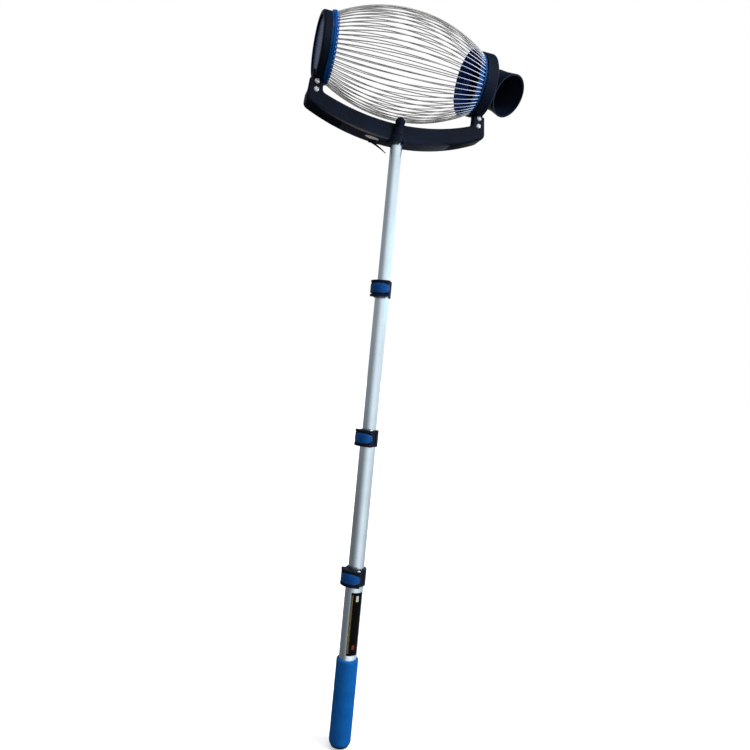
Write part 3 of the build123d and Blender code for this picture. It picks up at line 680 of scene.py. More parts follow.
def yoke_outline():
    """Closed front outline, counter-clockwise seen from the front, as (x, z) points."""
    half = [i / ARC_STEPS * 2 - 1 for i in range(ARC_STEPS + 1)]
    lower = [Vector((t * LOWER_ARC_END, yoke_bottom(t * LOWER_ARC_END))) for t in half]
    upper = [Vector((t * UPPER_ARC_END, yoke_top(t * UPPER_ARC_END))) for t in reversed(half)]
    outer_top, inner_top = Vector((ARM_OUTER_X - ARM_SPLAY, ARM_TOP)), Vector((ARM_INNER_X, ARM_TOP))
    outer_root = Vector((ARM_OUTER_X, yoke_bottom(ARM_OUTER_X)))
    inner_root = Vector((ARM_INNER_X, yoke_top(ARM_INNER_X)))
    right = rounded_corner(lower[-1], outer_root, outer_top, OUTER_CORNER)
    shoulder = right[-1].lerp(outer_top, (ARM_SHOULDER - right[-1].y) / (ARM_TOP - right[-1].y))
    right += [Vector((shoulder.x, ARM_SHOULDER + step)) for step in (-SHOULDER_STEP, SHOULDER_STEP)]
    right += [outer_top, inner_top] + rounded_corner(inner_top, inner_root, upper[0], INNER_CORNER)
    left = [Vector((-p.x, p.y)) for p in reversed(right)]
    return lower + right + upper + left


def inset(outline, distance):
    """Move a counter-clockwise outline inwards by a distance."""
    moved = []
    for before, point, after in zip(outline[-1:] + outline, outline, outline[1:] + outline[:1]):
        a, b = (point - before).normalized(), (after - point).normalized()
        normal_a, normal_b = Vector((-a.y, a.x)), Vector((-b.y, b.x))
        moved.append(point + (normal_a + normal_b) * (distance / (1 + normal_a.dot(normal_b))))
    return moved


YOKE_OUTLINE = yoke_outline()
print("yoke outline:", len(YOKE_OUTLINE), "points")

# %% Yoke channel
YOKE_FRONT, YOKE_BACK, TAB_BACK = -4.0, 26.0, 5.0
YOKE_WALL, YOKE_EDGE, EDGE_STEPS, FRONT_MARGIN = 3.0, 4.0, 6, 0.5
# Centre and reach in millimetres of the painted highlight along the round under the bar.
EDGE_HIGHLIGHT_X, EDGE_HIGHLIGHT_REACH = -58.0, 75.0


def row_of(bm, points, y):
    return [bm.verts.new(Vector((p.x, y, p.y)) * MM) for p in points]


def back_row(bm, points):
    """Row along the open back, which steps forward at the arms' shoulders."""
    return [bm.verts.new(Vector((p.x, TAB_BACK if q.y > ARM_SHOULDER else YOKE_BACK, p.y)) * MM)
            for p, q in zip(points, YOKE_OUTLINE)]


def cap(bm, row):
    edges = [bm.edges.get((row[i], row[(i + 1) % len(row)])) for i in range(len(row))]
    bmesh.ops.triangle_fill(bm, use_beauty=True, use_dissolve=False, edges=edges)


def paint_edge_highlight(rubbed, row, amount):
    """Mark the part of a row under the bar for a painted highlight, strongest left of the pole."""
    for vert in row[:ARC_STEPS + 1]:
        vert[rubbed] = amount * max(0.0, 1 - abs(vert.co.x / MM - EDGE_HIGHLIGHT_X) / EDGE_HIGHLIGHT_REACH)


def channel(bm):
    """Outer skin with a rounded front edge, and the channel at the back."""
    rubbed = bm.verts.layers.float.new("rubbed")
    rows = [back_row(bm, YOKE_OUTLINE), row_of(bm, YOKE_OUTLINE, YOKE_FRONT + YOKE_EDGE)]
    for step in range(1, EDGE_STEPS + 1):
        turn = pi / 2 * step / EDGE_STEPS
        edge = inset(YOKE_OUTLINE, YOKE_EDGE * (1 - cos(turn)))
        rows.append(row_of(bm, edge, YOKE_FRONT + YOKE_EDGE * (1 - sin(turn))))
        paint_edge_highlight(rubbed, rows[-1], sin(2 * turn) ** 4)
    rows.append(row_of(bm, inset(YOKE_OUTLINE, YOKE_EDGE + FRONT_MARGIN), YOKE_FRONT))
    pocket = inset(YOKE_OUTLINE, YOKE_WALL)
    inner = [back_row(bm, pocket), row_of(bm, pocket, YOKE_FRONT + YOKE_WALL)]
    for first, second in zip(rows, rows[1:]):
        bridge(bm, first, second)
    bridge(bm, inner[1], inner[0])
    bridge(bm, inner[0], rows[0])
    cap(bm, rows[-1])
    cap(bm, inner[1])


yoke = bmesh.new()
channel(yoke)
print("channel:", len(yoke.faces), "faces")

# %% [markdown]
# ## Socket, post and ribs of the yoke
# The pole's top sits in a flared socket with a V notch in its rim.  In front of it a round post with a ball
# knob stands on the bar.  Ribs cross the channel.  All are moulded in one with the bar, so they join its
# mesh before it becomes a piece.

# %% Socket, post and ribs
SOCKET_BASE, SOCKET_HEIGHT, SOCKET_DEPTH, SOCKET_SEGMENTS = 953.0, 15.4, 13.0, 144
SOCKET_MOUTH_RADIUS, SOCKET_TOP_RADIUS, SOCKET_BORE = 14.75, 11.95, 9.55
NOTCH_HEIGHT, NOTCH_HALF_ANGLE, NOTCH_TURN = 7.0, radians(12), radians(-65)
POST_RADIUS, POST_Y, POST_BOTTOM, POST_TOP, POST_EDGE = 9.0, -5.0, 966.5, 978.2, 1.0
KNOB_RADIUS, KNOB_Y, KNOB_Z, NECK_RADIUS, NECK_REACH = 7.8, -9.0, 986.0, 5.6, 1.0
POST_SEGMENTS, KNOB_STEPS, KNOB_FROM = 64, 20, 6
RIB_X, RIB_HALF, RIB_SINK = (32.0, 64.0, 96.0), 1.0, 1.5


def socket(bm):
    """Flared socket round the tube's end, with a V notch in its rim."""
    rings = [[], [], [], []]
    for i in range(SOCKET_SEGMENTS):
        angle = tau * i / SOCKET_SEGMENTS
        turn = abs((angle - NOTCH_TURN + pi) % tau - pi)
        lift = NOTCH_HEIGHT * max(0.0, 1 - turn / NOTCH_HALF_ANGLE)
        mouth = SOCKET_MOUTH_RADIUS + (SOCKET_TOP_RADIUS - SOCKET_MOUTH_RADIUS) * lift / SOCKET_HEIGHT
        corners = ((lift, mouth), (SOCKET_HEIGHT, SOCKET_TOP_RADIUS), (SOCKET_DEPTH, SOCKET_BORE),
                   (lift, SOCKET_BORE))
        for ring, (height, radius) in zip(rings, corners):
            ring.append(bm.verts.new(on_pole(SOCKET_BASE + height, radius, angle)))
    for first, second in zip(rings, rings[1:] + rings[:1]):
        bridge(bm, first, second)


def on_post(y):
    """Like on_pole, but about an upright axis at this depth."""
    return lambda along, radius, angle: on_pole(along, radius, angle) + Vector((0, y, 0)) * MM


def post(bm):
    """Round post on the front of the bar, with a ball knob on a short neck."""
    column = [(POST_BOTTOM, 0), (POST_BOTTOM, POST_RADIUS), (POST_TOP, POST_RADIUS), (POST_TOP, 0)]
    spin(bm, softened(column, POST_EDGE), on_post(POST_Y), POST_SEGMENTS)
    turns = [pi * step / KNOB_STEPS for step in range(KNOB_FROM, KNOB_STEPS)]
    ball = [(KNOB_Z - KNOB_RADIUS * cos(t), KNOB_RADIUS * sin(t)) for t in turns]
    low, high = POST_TOP - NECK_REACH, POST_TOP + NECK_REACH
    neck = [(low, 0), (low, NECK_RADIUS), (high, NECK_RADIUS)]
    spin(bm, neck + ball + [(KNOB_Z + KNOB_RADIUS, 0)], on_post(KNOB_Y), POST_SEGMENTS)


def block(bm, low, high):
    """A box between two corners."""
    verts = [bm.verts.new(Vector((x, y, z)) * MM)
             for z in (low[2], high[2]) for y in (low[1], high[1]) for x in (low[0], high[0])]
    for face in ((0, 1, 3, 2), (4, 6, 7, 5), (0, 4, 5, 1), (2, 3, 7, 6), (0, 2, 6, 4), (1, 5, 7, 3)):
        bm.faces.new([verts[i] for i in face])


socket(yoke)
post(yoke)
for x in [side * x for x in RIB_X for side in (-1, 1)]:
    block(yoke, (x - RIB_HALF, YOKE_FRONT + YOKE_WALL / 2, yoke_bottom(x) + RIB_SINK),
          (x + RIB_HALF, YOKE_BACK - RIB_SINK, yoke_top(x) - RIB_SINK))
settle(piece("yoke_moulded", yoke, NYLON), "head", "black_plastic", "yoke")

# %% [markdown]
# ## The spout
# Olives leave through an elbow.  It is drawn as many straight lines that run along the neck, turn at the
# mitre and follow the leg to the flared mouth; each line's corner is softened, which rounds the knee.  The
# same lines nearer the axis make the inside.

# %% Lines of the spout
ELBOW_RADIUS, ELBOW_WALL, ELBOW_FLARE, FLARE_LENGTH = 31.0, 2.5, 3.0, 20.0
ELBOW_BEND, ELBOW_ROLL, ELBOW_LEG = radians(64.5), radians(-54.4), 31.3
KNEE_CUT, KNEE_SHARE, KNEE_STEPS = 9.0, 0.45, 5
BEND_POINT = Vector((161.0, 0, 0))
LEG = Vector((cos(ELBOW_BEND), sin(ELBOW_ROLL) * sin(ELBOW_BEND), -cos(ELBOW_ROLL) * sin(ELBOW_BEND)))
NECK_X = span("outlet_elbow")[0].x


def elbow_line(radius, angle):
    """Points of one line along the elbow, from the neck to the mouth."""
    neck = Vector((NECK_X, radius * cos(angle), radius * sin(angle)))
    mitre_x = BEND_POINT.x - (neck.y * LEG.y + neck.z * LEG.z) / (1 + LEG.x)
    mitre = Vector((mitre_x, neck.y, neck.z))
    reach = (mitre - BEND_POINT).dot(LEG)
    out = (mitre - BEND_POINT - LEG * reach).normalized()

    def leg_point(s):
        flare = ELBOW_FLARE * max(0.0, (s - ELBOW_LEG + FLARE_LENGTH) / FLARE_LENGTH)
        return BEND_POINT + LEG * s + out * (radius + flare)

    mouth = leg_point(ELBOW_LEG)
    cut = min(KNEE_CUT, KNEE_SHARE * (mouth - mitre).length, KNEE_SHARE * (mitre - neck).length)
    start, end = mitre + (neck - mitre).normalized() * cut, leg_point(reach + cut)
    halfway = leg_point((reach + cut + ELBOW_LEG) / 2)
    return [neck] + eased(start, mitre, end, KNEE_STEPS) + [halfway, mouth]


print("leg of the spout points to", [round(part, 2) for part in LEG])

# %% Spout
ELBOW_SEGMENTS, RIM_ROUND, RIM_ANGLE = 96, 0.7, radians(40)
STOP_SINK, STOP_REACH, STOP_WIDTH, STOP_EDGE = 1.0, 5.0, 2.0, 0.4


def elbow():
    """Outer and inner skin with a rounded rim, and the flange that stops the neck in its bore."""
    bm = bmesh.new()
    lift = Vector((0, 0, BARREL_Z))
    skins = []
    for radius in (ELBOW_RADIUS, ELBOW_RADIUS - ELBOW_WALL):
        lines = [elbow_line(radius, tau * i / ELBOW_SEGMENTS) for i in range(ELBOW_SEGMENTS)]
        skins.append([[bm.verts.new((p + lift) * MM) for p in row] for row in zip(*lines)])
    outer, inner = skins
    rows = outer + inner[::-1]
    for first, second in zip(rows, rows[1:] + rows[:1]):
        bridge(bm, first, second)
    mouth = set(outer[-1] + inner[-1])
    rim = [edge for edge in bm.edges if mouth.issuperset(edge.verts) and edge.calc_face_angle(0) > RIM_ANGLE]
    bmesh.ops.bevel(bm, geom=rim, offset=RIM_ROUND * MM, segments=3, profile=0.5, affect="EDGES")
    stop = rectangle((NECK_X, ELBOW_RADIUS - STOP_SINK), (NECK_X + STOP_WIDTH, ELBOW_RADIUS + STOP_REACH))
    spin(bm, softened(stop, STOP_EDGE), on_barrel)
    return piece("spout_moulded", bm, NYLON)


settle(elbow(), "outlet", "black_plastic", "outlet_elbow")

# %% [markdown]
# ## Clamps and levers
# The flip-lock clamps already have the right shape in CAD, only with sharp moulding edges.  A copy of each
# mesh is welded, its flat faces are joined again, and its edges get a small round, as every moulded part
# has.  A lever has a black frame, brought out level with the cheeks, and carries a crowned oval plate of
# blue ABS.  The plate is spun like the turned pieces, but its circles are squared and wrapped round the
# pole.

# %% Rounded copies of CAD pieces
WELD, FLAT_ANGLE, CREASE = 0.002, radians(0.5), 35
FRAME_FROM, FRAME_TO, FACE_SLOP, KNUCKLE_RADIUS = 0.9, 2.8, 0.1, 4.0


def moulded(node, name, edge_mm, reshape=None):
    """A welded copy of a CAD node in nylon, with its sharp edges rounded."""
    bm = bmesh.new()
    bm.from_mesh(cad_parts[node].data)
    bmesh.ops.remove_doubles(bm, verts=bm.verts, dist=WELD * MM)
    if reshape:
        reshape(bm)
    bmesh.ops.dissolve_limit(bm, angle_limit=FLAT_ANGLE, verts=bm.verts, edges=bm.edges)
    sharp = [edge for edge in bm.edges if edge.calc_face_angle(0) > radians(CREASE)]
    bmesh.ops.bevel(bm, geom=sharp, offset=edge_mm * MM, segments=3, profile=0.5, affect="EDGES",
                    clamp_overlap=True)
    return piece(name, bm, NYLON, CREASE)


def middle_of(node):
    low, high = span(node)
    return (low + high) / 2


def frame_face(clamp):
    """A change of shape that brings a lever's outer face out level with the cheeks."""
    pin = middle_of(f"{clamp}_pin")
    face = hypot(pin.x, pin.y) + FRAME_FROM

    def bring_out(bm):
        for vert in bm.verts:
            flat = Vector((vert.co.x, vert.co.y, 0))
            beside_pin = (flat / MM - Vector((pin.x, pin.y, 0))).length < KNUCKLE_RADIUS
            if abs(flat.length / MM - face) < FACE_SLOP and not beside_pin:
                vert.co += flat.normalized() * (FRAME_TO - FRAME_FROM) * MM
    return bring_out


# %% Clamps and levers
COLLAR_EDGE, LEVER_EDGE = 0.5, 1.2
PLATE_FROM, PLATE_TO, PLATE_MARGIN, PLATE_SEGMENTS = -6.0, 86.0, 1.2, 64
PLATE_EDGE, PLATE_CROWN, PLATE_FOOT, PLATE_ROWS = 3.5, 4.6, 1.6, 10
plate_turns = [pi / 2 * step / PLATE_ROWS for step in range(PLATE_ROWS + 1)]
PLATE_OUTLINE = [(PLATE_EDGE + (PLATE_CROWN - PLATE_EDGE) * cos(t), sin(t)) for t in plate_turns]
PLATE_OUTLINE += [(PLATE_FOOT, 1), (PLATE_FOOT, 0)]
SQUARENESS = 0.7


def squared(part):
    """Push a sine or cosine towards the corners of a square."""
    return copysign(abs(part) ** SQUARENESS, part)


def on_lever(clamp):
    """Where a point of the oval plate goes: its rise over the pin's circle, its size and its angle."""
    pin, lever = middle_of(f"{clamp}_pin"), middle_of(f"{clamp}_lever")
    half_height = span(f"{clamp}_lever")[1].z - lever.z - PLATE_MARGIN

    def place(rise, size, angle):
        along = (1 + size * squared(cos(angle))) / 2
        turn = atan2(pin.y, pin.x) - radians(PLATE_FROM + (PLATE_TO - PLATE_FROM) * along)
        height = lever.z + half_height * size * squared(sin(angle))
        return on_pole(height, hypot(pin.x, pin.y) + rise, turn)
    return place


for clamp, stage_body in zip(CLAMPS, STAGES):
    lever_body = clamp.replace("clamp", "lever")
    collar = moulded(clamp, f"{clamp}_collar", COLLAR_EDGE)
    settle(collar, stage_body, "black_plastic", clamp)
    lever_frame = moulded(f"{clamp}_lever", f"{clamp}_flip", LEVER_EDGE, frame_face(clamp))
    settle(lever_frame, lever_body, "black_plastic", f"{clamp}_lever")
    plate = turned(f"{clamp}_plate", PLATE_OUTLINE, on_lever(clamp), ABS, PLATE_SEGMENTS)
    settle(plate, lever_body, "blue_plastic")

# %% [markdown]
# ## Rivets
# Each lever turns on a riveted pin with a domed head at both ends.  A tree sweeps the shank along a line
# and puts a flattened ball on each end of it; it runs once for each clamp, with that clamp's sizes.

# %% Rivets
PIN_HEAD_HEIGHT, SHANK_RADIUS = 1.4, 1.5


def domed_rivet(tree, given):
    line = add_node(tree, "GeometryNodeCurvePrimitiveLine", {
        "Start": given["Lower end"], "End": given["Upper end"]})
    section = add_node(tree, "GeometryNodeCurvePrimitiveCircle", {
        "Resolution": 24, "Radius": given["Shank radius"]}, mode="RADIUS")
    shank = add_node(tree, "GeometryNodeCurveToMesh", {
        "Curve": line, "Profile Curve": section, "Fill Caps": True})
    ball = add_node(tree, "GeometryNodeMeshUVSphere", {
        "Segments": 28, "Rings": 14, "Radius": given["Head radius"]})
    ends = add_node(tree, "GeometryNodeCurveToPoints", {"Curve": line, "Count": 2}, mode="COUNT")
    heads = add_node(tree, "GeometryNodeInstanceOnPoints", {
        "Points": ends, "Instance": ball, "Scale": given["Head shape"]})
    return add_node(tree, "GeometryNodeJoinGeometry", {"Geometry": [shank, heads]})


def rivet_sizes(clamp):
    low, high = span(f"{clamp}_pin")
    centre, head_radius = (low + high) / 2, (high.x - low.x) / 2
    return {
        "Lower end": Vector((centre.x, centre.y, low.z + PIN_HEAD_HEIGHT)) * MM,
        "Upper end": Vector((centre.x, centre.y, high.z - PIN_HEAD_HEIGHT)) * MM,
        "Head radius": head_radius * MM,
        "Head shape": Vector((1, 1, PIN_HEAD_HEIGHT / head_radius)),
        "Shank radius": SHANK_RADIUS * MM,
        "Material": ZINC,
    }


rivets = geometry_tree("domed_rivet", domed_rivet, rivet_sizes(CLAMPS[0]))
for clamp, stage_body in zip(CLAMPS, STAGES):
    rivet = grown(f"{clamp}_rivet", rivets, rivet_sizes(clamp))
    settle(rivet, stage_body, "plated_steel", f"{clamp}_pin")

# %% [markdown]
# ## Screws
# Each arm has two pan-head screws with a cross recess.  A tree flattens a ball into a head, cuts two bars
# out of it with a boolean, and puts one on each corner of a grid that spans both arms.

# %% Screws
RECESS_WIDTH, SCREW_CREASE = 0.6, radians(40)


def pan_head_screws(tree, given):
    grid = add_node(tree, "GeometryNodeMeshGrid", {
        "Size X": given["Across"], "Size Y": given["Apart"], "Vertices X": 2, "Vertices Y": 2})
    upright = add_node(tree, "GeometryNodeTransform", {
        "Geometry": grid, "Rotation": (pi / 2, 0, 0), "Translation": given["Centre"]})
    dome = add_node(tree, "GeometryNodeMeshUVSphere", {
        "Segments": 32, "Rings": 16, "Radius": given["Head radius"]})
    head = add_node(tree, "GeometryNodeTransform", {"Geometry": dome, "Scale": given["Head shape"]})
    cuts = []
    for size in ("Recess across", "Recess upright"):
        bar = add_node(tree, "GeometryNodeMeshCube", {"Size": given[size]})
        cuts.append(add_node(tree, "GeometryNodeTransform", {
            "Geometry": bar, "Translation": given["Recess place"]}))
    recessed = add_node(tree, "GeometryNodeMeshBoolean", {
        "Mesh 1": head, "Mesh 2": cuts}, operation="DIFFERENCE")
    return add_node(tree, "GeometryNodeInstanceOnPoints", {"Points": upright, "Instance": recessed})


screw_low, screw_high = span("right_arm_screws")
head_radius, head_height = (screw_high.x - screw_low.x) / 2, YOKE_FRONT - screw_low.y
screw_sizes = {
    "Across": (screw_low.x + screw_high.x) * MM,
    "Apart": (screw_high.z - screw_low.z - 2 * head_radius) * MM,
    "Centre": Vector((0, YOKE_FRONT, (screw_low.z + screw_high.z) / 2)) * MM,
    "Head radius": head_radius * MM,
    "Head shape": Vector((1, head_height / head_radius, 1)),
    "Recess place": Vector((0, -head_height, 0)) * MM,
    "Recess across": Vector((head_radius, head_height, RECESS_WIDTH)) * MM,
    "Recess upright": Vector((RECESS_WIDTH, head_height, head_radius)) * MM,
    "Material": ZINC,
}
screws = grown("arm_screw_heads", geometry_tree("pan_head_screws", pan_head_screws, screw_sizes), screw_sizes)
screws.data.set_sharp_from_angle(angle=SCREW_CREASE)
settle(screws, "head", "plated_steel", "left_arm_screws", "right_arm_screws")

# %% [markdown]
# ## A plain sticker
# The handle carries a black vinyl sticker.  It is a thin patch of a cylinder just outside the tube, and its
# printed bars come from the patch's own UV map: a bar is where both coordinates are near enough to its
# middle.

# %% Sticker vinyl
# The middle and half width of a bar across the patch, then along it, and its ink.
STICKER_BARS = (
    ((0.075, 0.015), (0.5, 0.46), "#B9A25A"),
    ((0.14, 0.01), (0.5, 0.46), "#B9A25A"),
    ((0.51, 0.11), (0.905, 0.045), "#C9CBCE"),
    ((0.51, 0.11), (0.135, 0.035), "#7A332B"),
)


def vinyl():
    material, tree = new_material("printed_black_vinyl")
    place = add_node(tree, "ShaderNodeTexCoord").outputs
    uv = add_node(tree, "ShaderNodeSeparateXYZ", {"Vector": place["UV"]}).outputs
    colour = linear("#020203")
    for across, along, ink in STICKER_BARS:
        inside = [add_node(tree, "ShaderNodeMath", {0: uv[axis], 1: middle, 2: half}, operation="COMPARE")
                  for axis, (middle, half) in (("X", across), ("Y", along))]
        mask = add_node(tree, "ShaderNodeMath", {0: inside[0], 1: inside[1]}, operation="MULTIPLY")
        colour = add_node(tree, "ShaderNodeMix", {
            "Factor": mask, "A": colour, "B": linear(ink)}, data_type="RGBA")
    film = add_node(tree, "ShaderNodeTexNoise", {
        "Vector": place["Object"], "Scale": per_mm(9), "Detail": 3.0})
    gloss = add_node(tree, "ShaderNodeMapRange", {"Value": film, "To Min": 0.38, "To Max": 0.52})
    return shaded(material, {"Base Color": colour, "Roughness": gloss, "Specular IOR Level": 0.04})


# %% Sticker
STICKER_ANGLES, STICKER_Z = (radians(-120), radians(-38)), (150.5, 249.0)
STICKER_SKINS = (0.12, 0.02)
COLUMNS, ROWS = 24, 12


def sticker_point(lift, i, j):
    angle = STICKER_ANGLES[0] + (STICKER_ANGLES[1] - STICKER_ANGLES[0]) * i / COLUMNS
    return on_pole(STICKER_Z[0] + (STICKER_Z[1] - STICKER_Z[0]) * j / ROWS, HANDLE_RADIUS + lift, angle)


def sticker_patch():
    """Two skins with the same UV map, closed round their border."""
    bm = bmesh.new()
    uv_layer = bm.loops.layers.uv.new("UVMap")
    outer, inner = ({(i, j): bm.verts.new(sticker_point(lift, i, j))
                     for j in range(ROWS + 1) for i in range(COLUMNS + 1)} for lift in STICKER_SKINS)
    for skin in (outer, inner):
        for i, j in [(i, j) for j in range(ROWS) for i in range(COLUMNS)]:
            corners = ((i, j), (i + 1, j), (i + 1, j + 1), (i, j + 1))
            face = bm.faces.new([skin[corner] for corner in corners])
            for loop, (u, v) in zip(face.loops, corners):
                loop[uv_layer].uv = (u / COLUMNS, v / ROWS)
    border = [(i, 0) for i in range(COLUMNS)] + [(COLUMNS, j) for j in range(ROWS)]
    border += [(i, ROWS) for i in range(COLUMNS, 0, -1)] + [(0, j) for j in range(ROWS, 0, -1)]
    bridge(bm, [outer[spot] for spot in border], [inner[spot] for spot in border])
    return piece("handle_sticker", bm, vinyl())


settle(sticker_patch(), "handle")

# %% [markdown]
# ## A printed oval
# Under the bar of the yoke is a pale oval, pad-printed and a little worn.  It is spun like a turned piece,
# but each point is laid on the bowed underside.

# %% Printed oval
OVAL_CENTRE, OVAL_LENGTH, OVAL_WIDTH, OVAL_SEGMENTS = (-39.0, 7.5), 22.5, 10.0, 48
OVAL_LIFT, OVAL_SINK = 0.1, 0.2
OVAL_OUTLINE = [(OVAL_LIFT, 0), (OVAL_LIFT, 0.6), (OVAL_LIFT, 1), (-OVAL_SINK, 1), (-OVAL_SINK, 0)]


def pad_print():
    material, tree = new_material("pale_grey_pad_print")
    place = add_node(tree, "ShaderNodeTexCoord").outputs["Object"]
    wear = add_node(tree, "ShaderNodeTexNoise", {"Vector": place, "Scale": per_mm(2.5), "Detail": 4.0})
    colour = add_node(tree, "ShaderNodeValToRGB", {"Fac": wear}, [(0.35, "#E2E0DB"), (0.65, "#F2F0EC")])
    return shaded(material, {"Base Color": colour, "Roughness": 0.6})


def under_bar(lift, size, angle):
    """A point of the oval, this far below the bar's underside."""
    x = OVAL_CENTRE[0] + size * OVAL_LENGTH / 2 * cos(angle)
    y = OVAL_CENTRE[1] + size * OVAL_WIDTH / 2 * sin(angle)
    return Vector((x, y, yoke_bottom(x) - lift)) * MM


settle(turned("underside_oval", OVAL_OUTLINE, under_bar, pad_print(), OVAL_SEGMENTS), "head")

# %% [markdown]
# ## A tie under the bar
# A nylon tie is drawn tight round the lower wall of the bar, and its cut end sticks out towards the pole.
# It is moulded with a taper, so a few rectangles that get smaller along a bent line give it, and a small
# block behind the wall is its head.

# %% Tie
TIE_ROOT, TIE_TIP = Vector((-37.5, 23.5, 960.3)), Vector((-12.0, 16.0, 943.0))
TIE_ROOT_WIDTH, TIE_TIP_WIDTH, TIE_THICKNESS = 4.0, 1.0, 1.1
TIE_HEAD, TIE_BEND, TIE_STEPS = Vector((2.6, 1.6, 2.2)), Vector((0, 0, 1.2)), 10
TIE_SIDE = (TIE_TIP - TIE_ROOT).cross(Vector((0, -1, 0))).normalized()
TIE_OUT = (TIE_TIP - TIE_ROOT).normalized().cross(TIE_SIDE)


def tie_corners(t):
    """The four corners of the tie's section at this share of its length."""
    centre = TIE_ROOT.lerp(TIE_TIP, t) + TIE_BEND * sin(pi * t)
    wide = TIE_SIDE * (TIE_ROOT_WIDTH + (TIE_TIP_WIDTH - TIE_ROOT_WIDTH) * t) / 2
    thick = TIE_OUT * TIE_THICKNESS / 2
    return [centre + wide + thick, centre - wide + thick, centre - wide - thick, centre + wide - thick]


def tie():
    """The head of the tie against the bar's lower wall, and its tapered end."""
    bm = bmesh.new()
    block(bm, TIE_ROOT - TIE_HEAD, TIE_ROOT + TIE_HEAD)
    rows = [[bm.verts.new(corner * MM) for corner in tie_corners(step / TIE_STEPS)]
            for step in range(TIE_STEPS + 1)]
    for first, second in zip(rows, rows[1:]):
        bridge(bm, first, second)
    bm.faces.new(rows[0])
    bm.faces.new(rows[-1])
    return piece("nylon_tie", bm, NYLON)


settle(tie(), "head", "black_plastic")

# %% [markdown]
# ## Finishes for the hidden plugs
# The plugs inside the tubes stay as CAD solids.  They get the same black nylon, so nothing is left grey.

# %% Plugs
PLUGS = ("butt_plug", "lower_tube_plug", "middle_tube_plug", "upper_tube_plug")
for plug in PLUGS:
    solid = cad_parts[plug]
    solid.data.materials.clear()
    solid.data.materials.append(NYLON)
print("painted", ", ".join(PLUGS))

# %% [markdown]
# ## Background and floor
# A catalogue picture has a white ground and soft light.  The background is white to the camera, and to
# reflections and clear things as well, while it lights the object more gently, most from a window to the
# right.  The floor keeps the object's soft shadow.

# %% World and floor
VIEW_TURN = radians(16.98)
VIEW = Vector((sin(VIEW_TURN), cos(VIEW_TURN), 0))
WINDOW = Vector((0.8, -0.35, 0.5)).normalized()
SHADE_LIGHT, WINDOW_LIGHT = 0.18, 0.62
FLOOR_HALF, FADE_FROM, FADE_TO, NEAR_GLOW = 60.0, 0.5, 2.2, 0.45


def seen_directly(tree):
    """1 for rays from the camera, from reflections and through clear things, otherwise 0."""
    path = add_node(tree, "ShaderNodeLightPath").outputs
    seen = path["Is Camera Ray"]
    for ray in ("Is Glossy Ray", "Is Transmission Ray"):
        seen = add_node(tree, "ShaderNodeMath", {0: seen, 1: path[ray]}, operation="MAXIMUM")
    return seen


def studio_world():
    world = bpy.data.worlds.new("studio")
    bpy.context.scene.world = world
    world.use_nodes = True
    tree = world.node_tree
    tree.nodes.clear()
    direction = add_node(tree, "ShaderNodeTexCoord").outputs["Generated"]
    towards = add_node(tree, "ShaderNodeVectorMath", {0: direction, 1: WINDOW}, operation="DOT_PRODUCT")
    light = add_node(tree, "ShaderNodeMapRange", {
        "Value": towards, "From Min": -0.6, "From Max": 0.8, "To Min": SHADE_LIGHT, "To Max": WINDOW_LIGHT})
    strength = add_node(tree, "ShaderNodeMix", {
        "Factor": seen_directly(tree), "A": light, "B": 1.0}, data_type="FLOAT")
    glow = add_node(tree, "ShaderNodeBackground", {"Color": (1, 1, 1, 1), "Strength": strength})
    add_node(tree, "ShaderNodeOutputWorld", {"Surface": glow})


def stage_piece(name, bm, material):
    mesh = bpy.data.meshes.new(name)
    bm.to_mesh(mesh)
    bm.free()
    mesh.materials.append(material)
    obj = bpy.data.objects.new(name, mesh)
    bpy.context.collection.objects.link(obj)
    return obj


def pale_floor():
    material, tree = new_material("pale_studio_floor")
    seen = seen_directly(tree)
    tone = add_node(tree, "ShaderNodeMix", {
        "Factor": seen, "A": linear("#8A8A8A"), "B": linear("#FFFFFF")}, data_type="RGBA")
    place = add_node(tree, "ShaderNodeTexCoord").outputs["Object"]
    away = add_node(tree, "ShaderNodeVectorMath", {0: place}, operation="LENGTH")
    fade = add_node(tree, "ShaderNodeMapRange", {
        "Value": away, "From Min": FADE_FROM, "From Max": FADE_TO, "To Min": NEAR_GLOW, "To Max": 1.0})
    glow = add_node(tree, "ShaderNodeMix", {"Factor": seen, "A": 0.0, "B": fade}, data_type="FLOAT")
    shaded(material, {"Base Color": tone, "Roughness": 0.9, "Emission Color": (1, 1, 1, 1),
                      "Emission Strength": glow})
    bm = bmesh.new()
    bmesh.ops.create_grid(bm, x_segments=1, y_segments=1, size=FLOOR_HALF)
    return stage_piece("studio_floor", bm, material)


studio_world()
print("made the world and", pale_floor().name)

# %% [markdown]
# ## Cards for the reflections
# Polished tubes need something dark to reflect, or they vanish on white.  As in a studio, shaded cards stand
# round the object, a dark cloth lies below, black flags are held under and over the barrel, and a bright
# card to the right puts a glint on the wires.  The cards are white from a strip on the right onwards, dark
# to the left, and shaded near the floor away from the strip.  Each sheet shows from its front and in
# reflections only, so none of them is in the picture itself or changes the light.

# %% Wall and screen
# Turns are degrees to the left of the camera.
CARD_TURNS, STRIP_TURN, STRIP_REACH = range(-170, 176, 15), -30, 90
CARD_DARK, FLOOR_SHADE, FLOOR_GAP = 0.3, 0.5, 0.01
WALL_RADIUS, WALL_HEIGHT, WALL_FROM = 2.4, 4.5, -50
SCREEN_RADIUS, SCREEN_LOW, SCREEN_HIP, SCREEN_TOP = 0.27, 0.31, 0.51, 0.72


def out_from_pole(degrees, radius, height):
    """A point this far from the pole, counted to the left from the camera."""
    return Matrix.Rotation(radians(-degrees), 3, "Z") @ -VIEW * radius + Vector((0, 0, height))


def card_grey(turn, shade):
    """Grey of a card; shade is the share of it that is left far from the strip."""
    away = min(1.0, abs(turn - STRIP_TURN) / STRIP_REACH)
    fade = (1 - away) ** 2 * (1 + 2 * away) if turn > STRIP_TURN else 1.0
    level = (CARD_DARK + (1 - CARD_DARK) * fade) * (1 - (1 - shade) * away)
    return (level, level, level, 1)


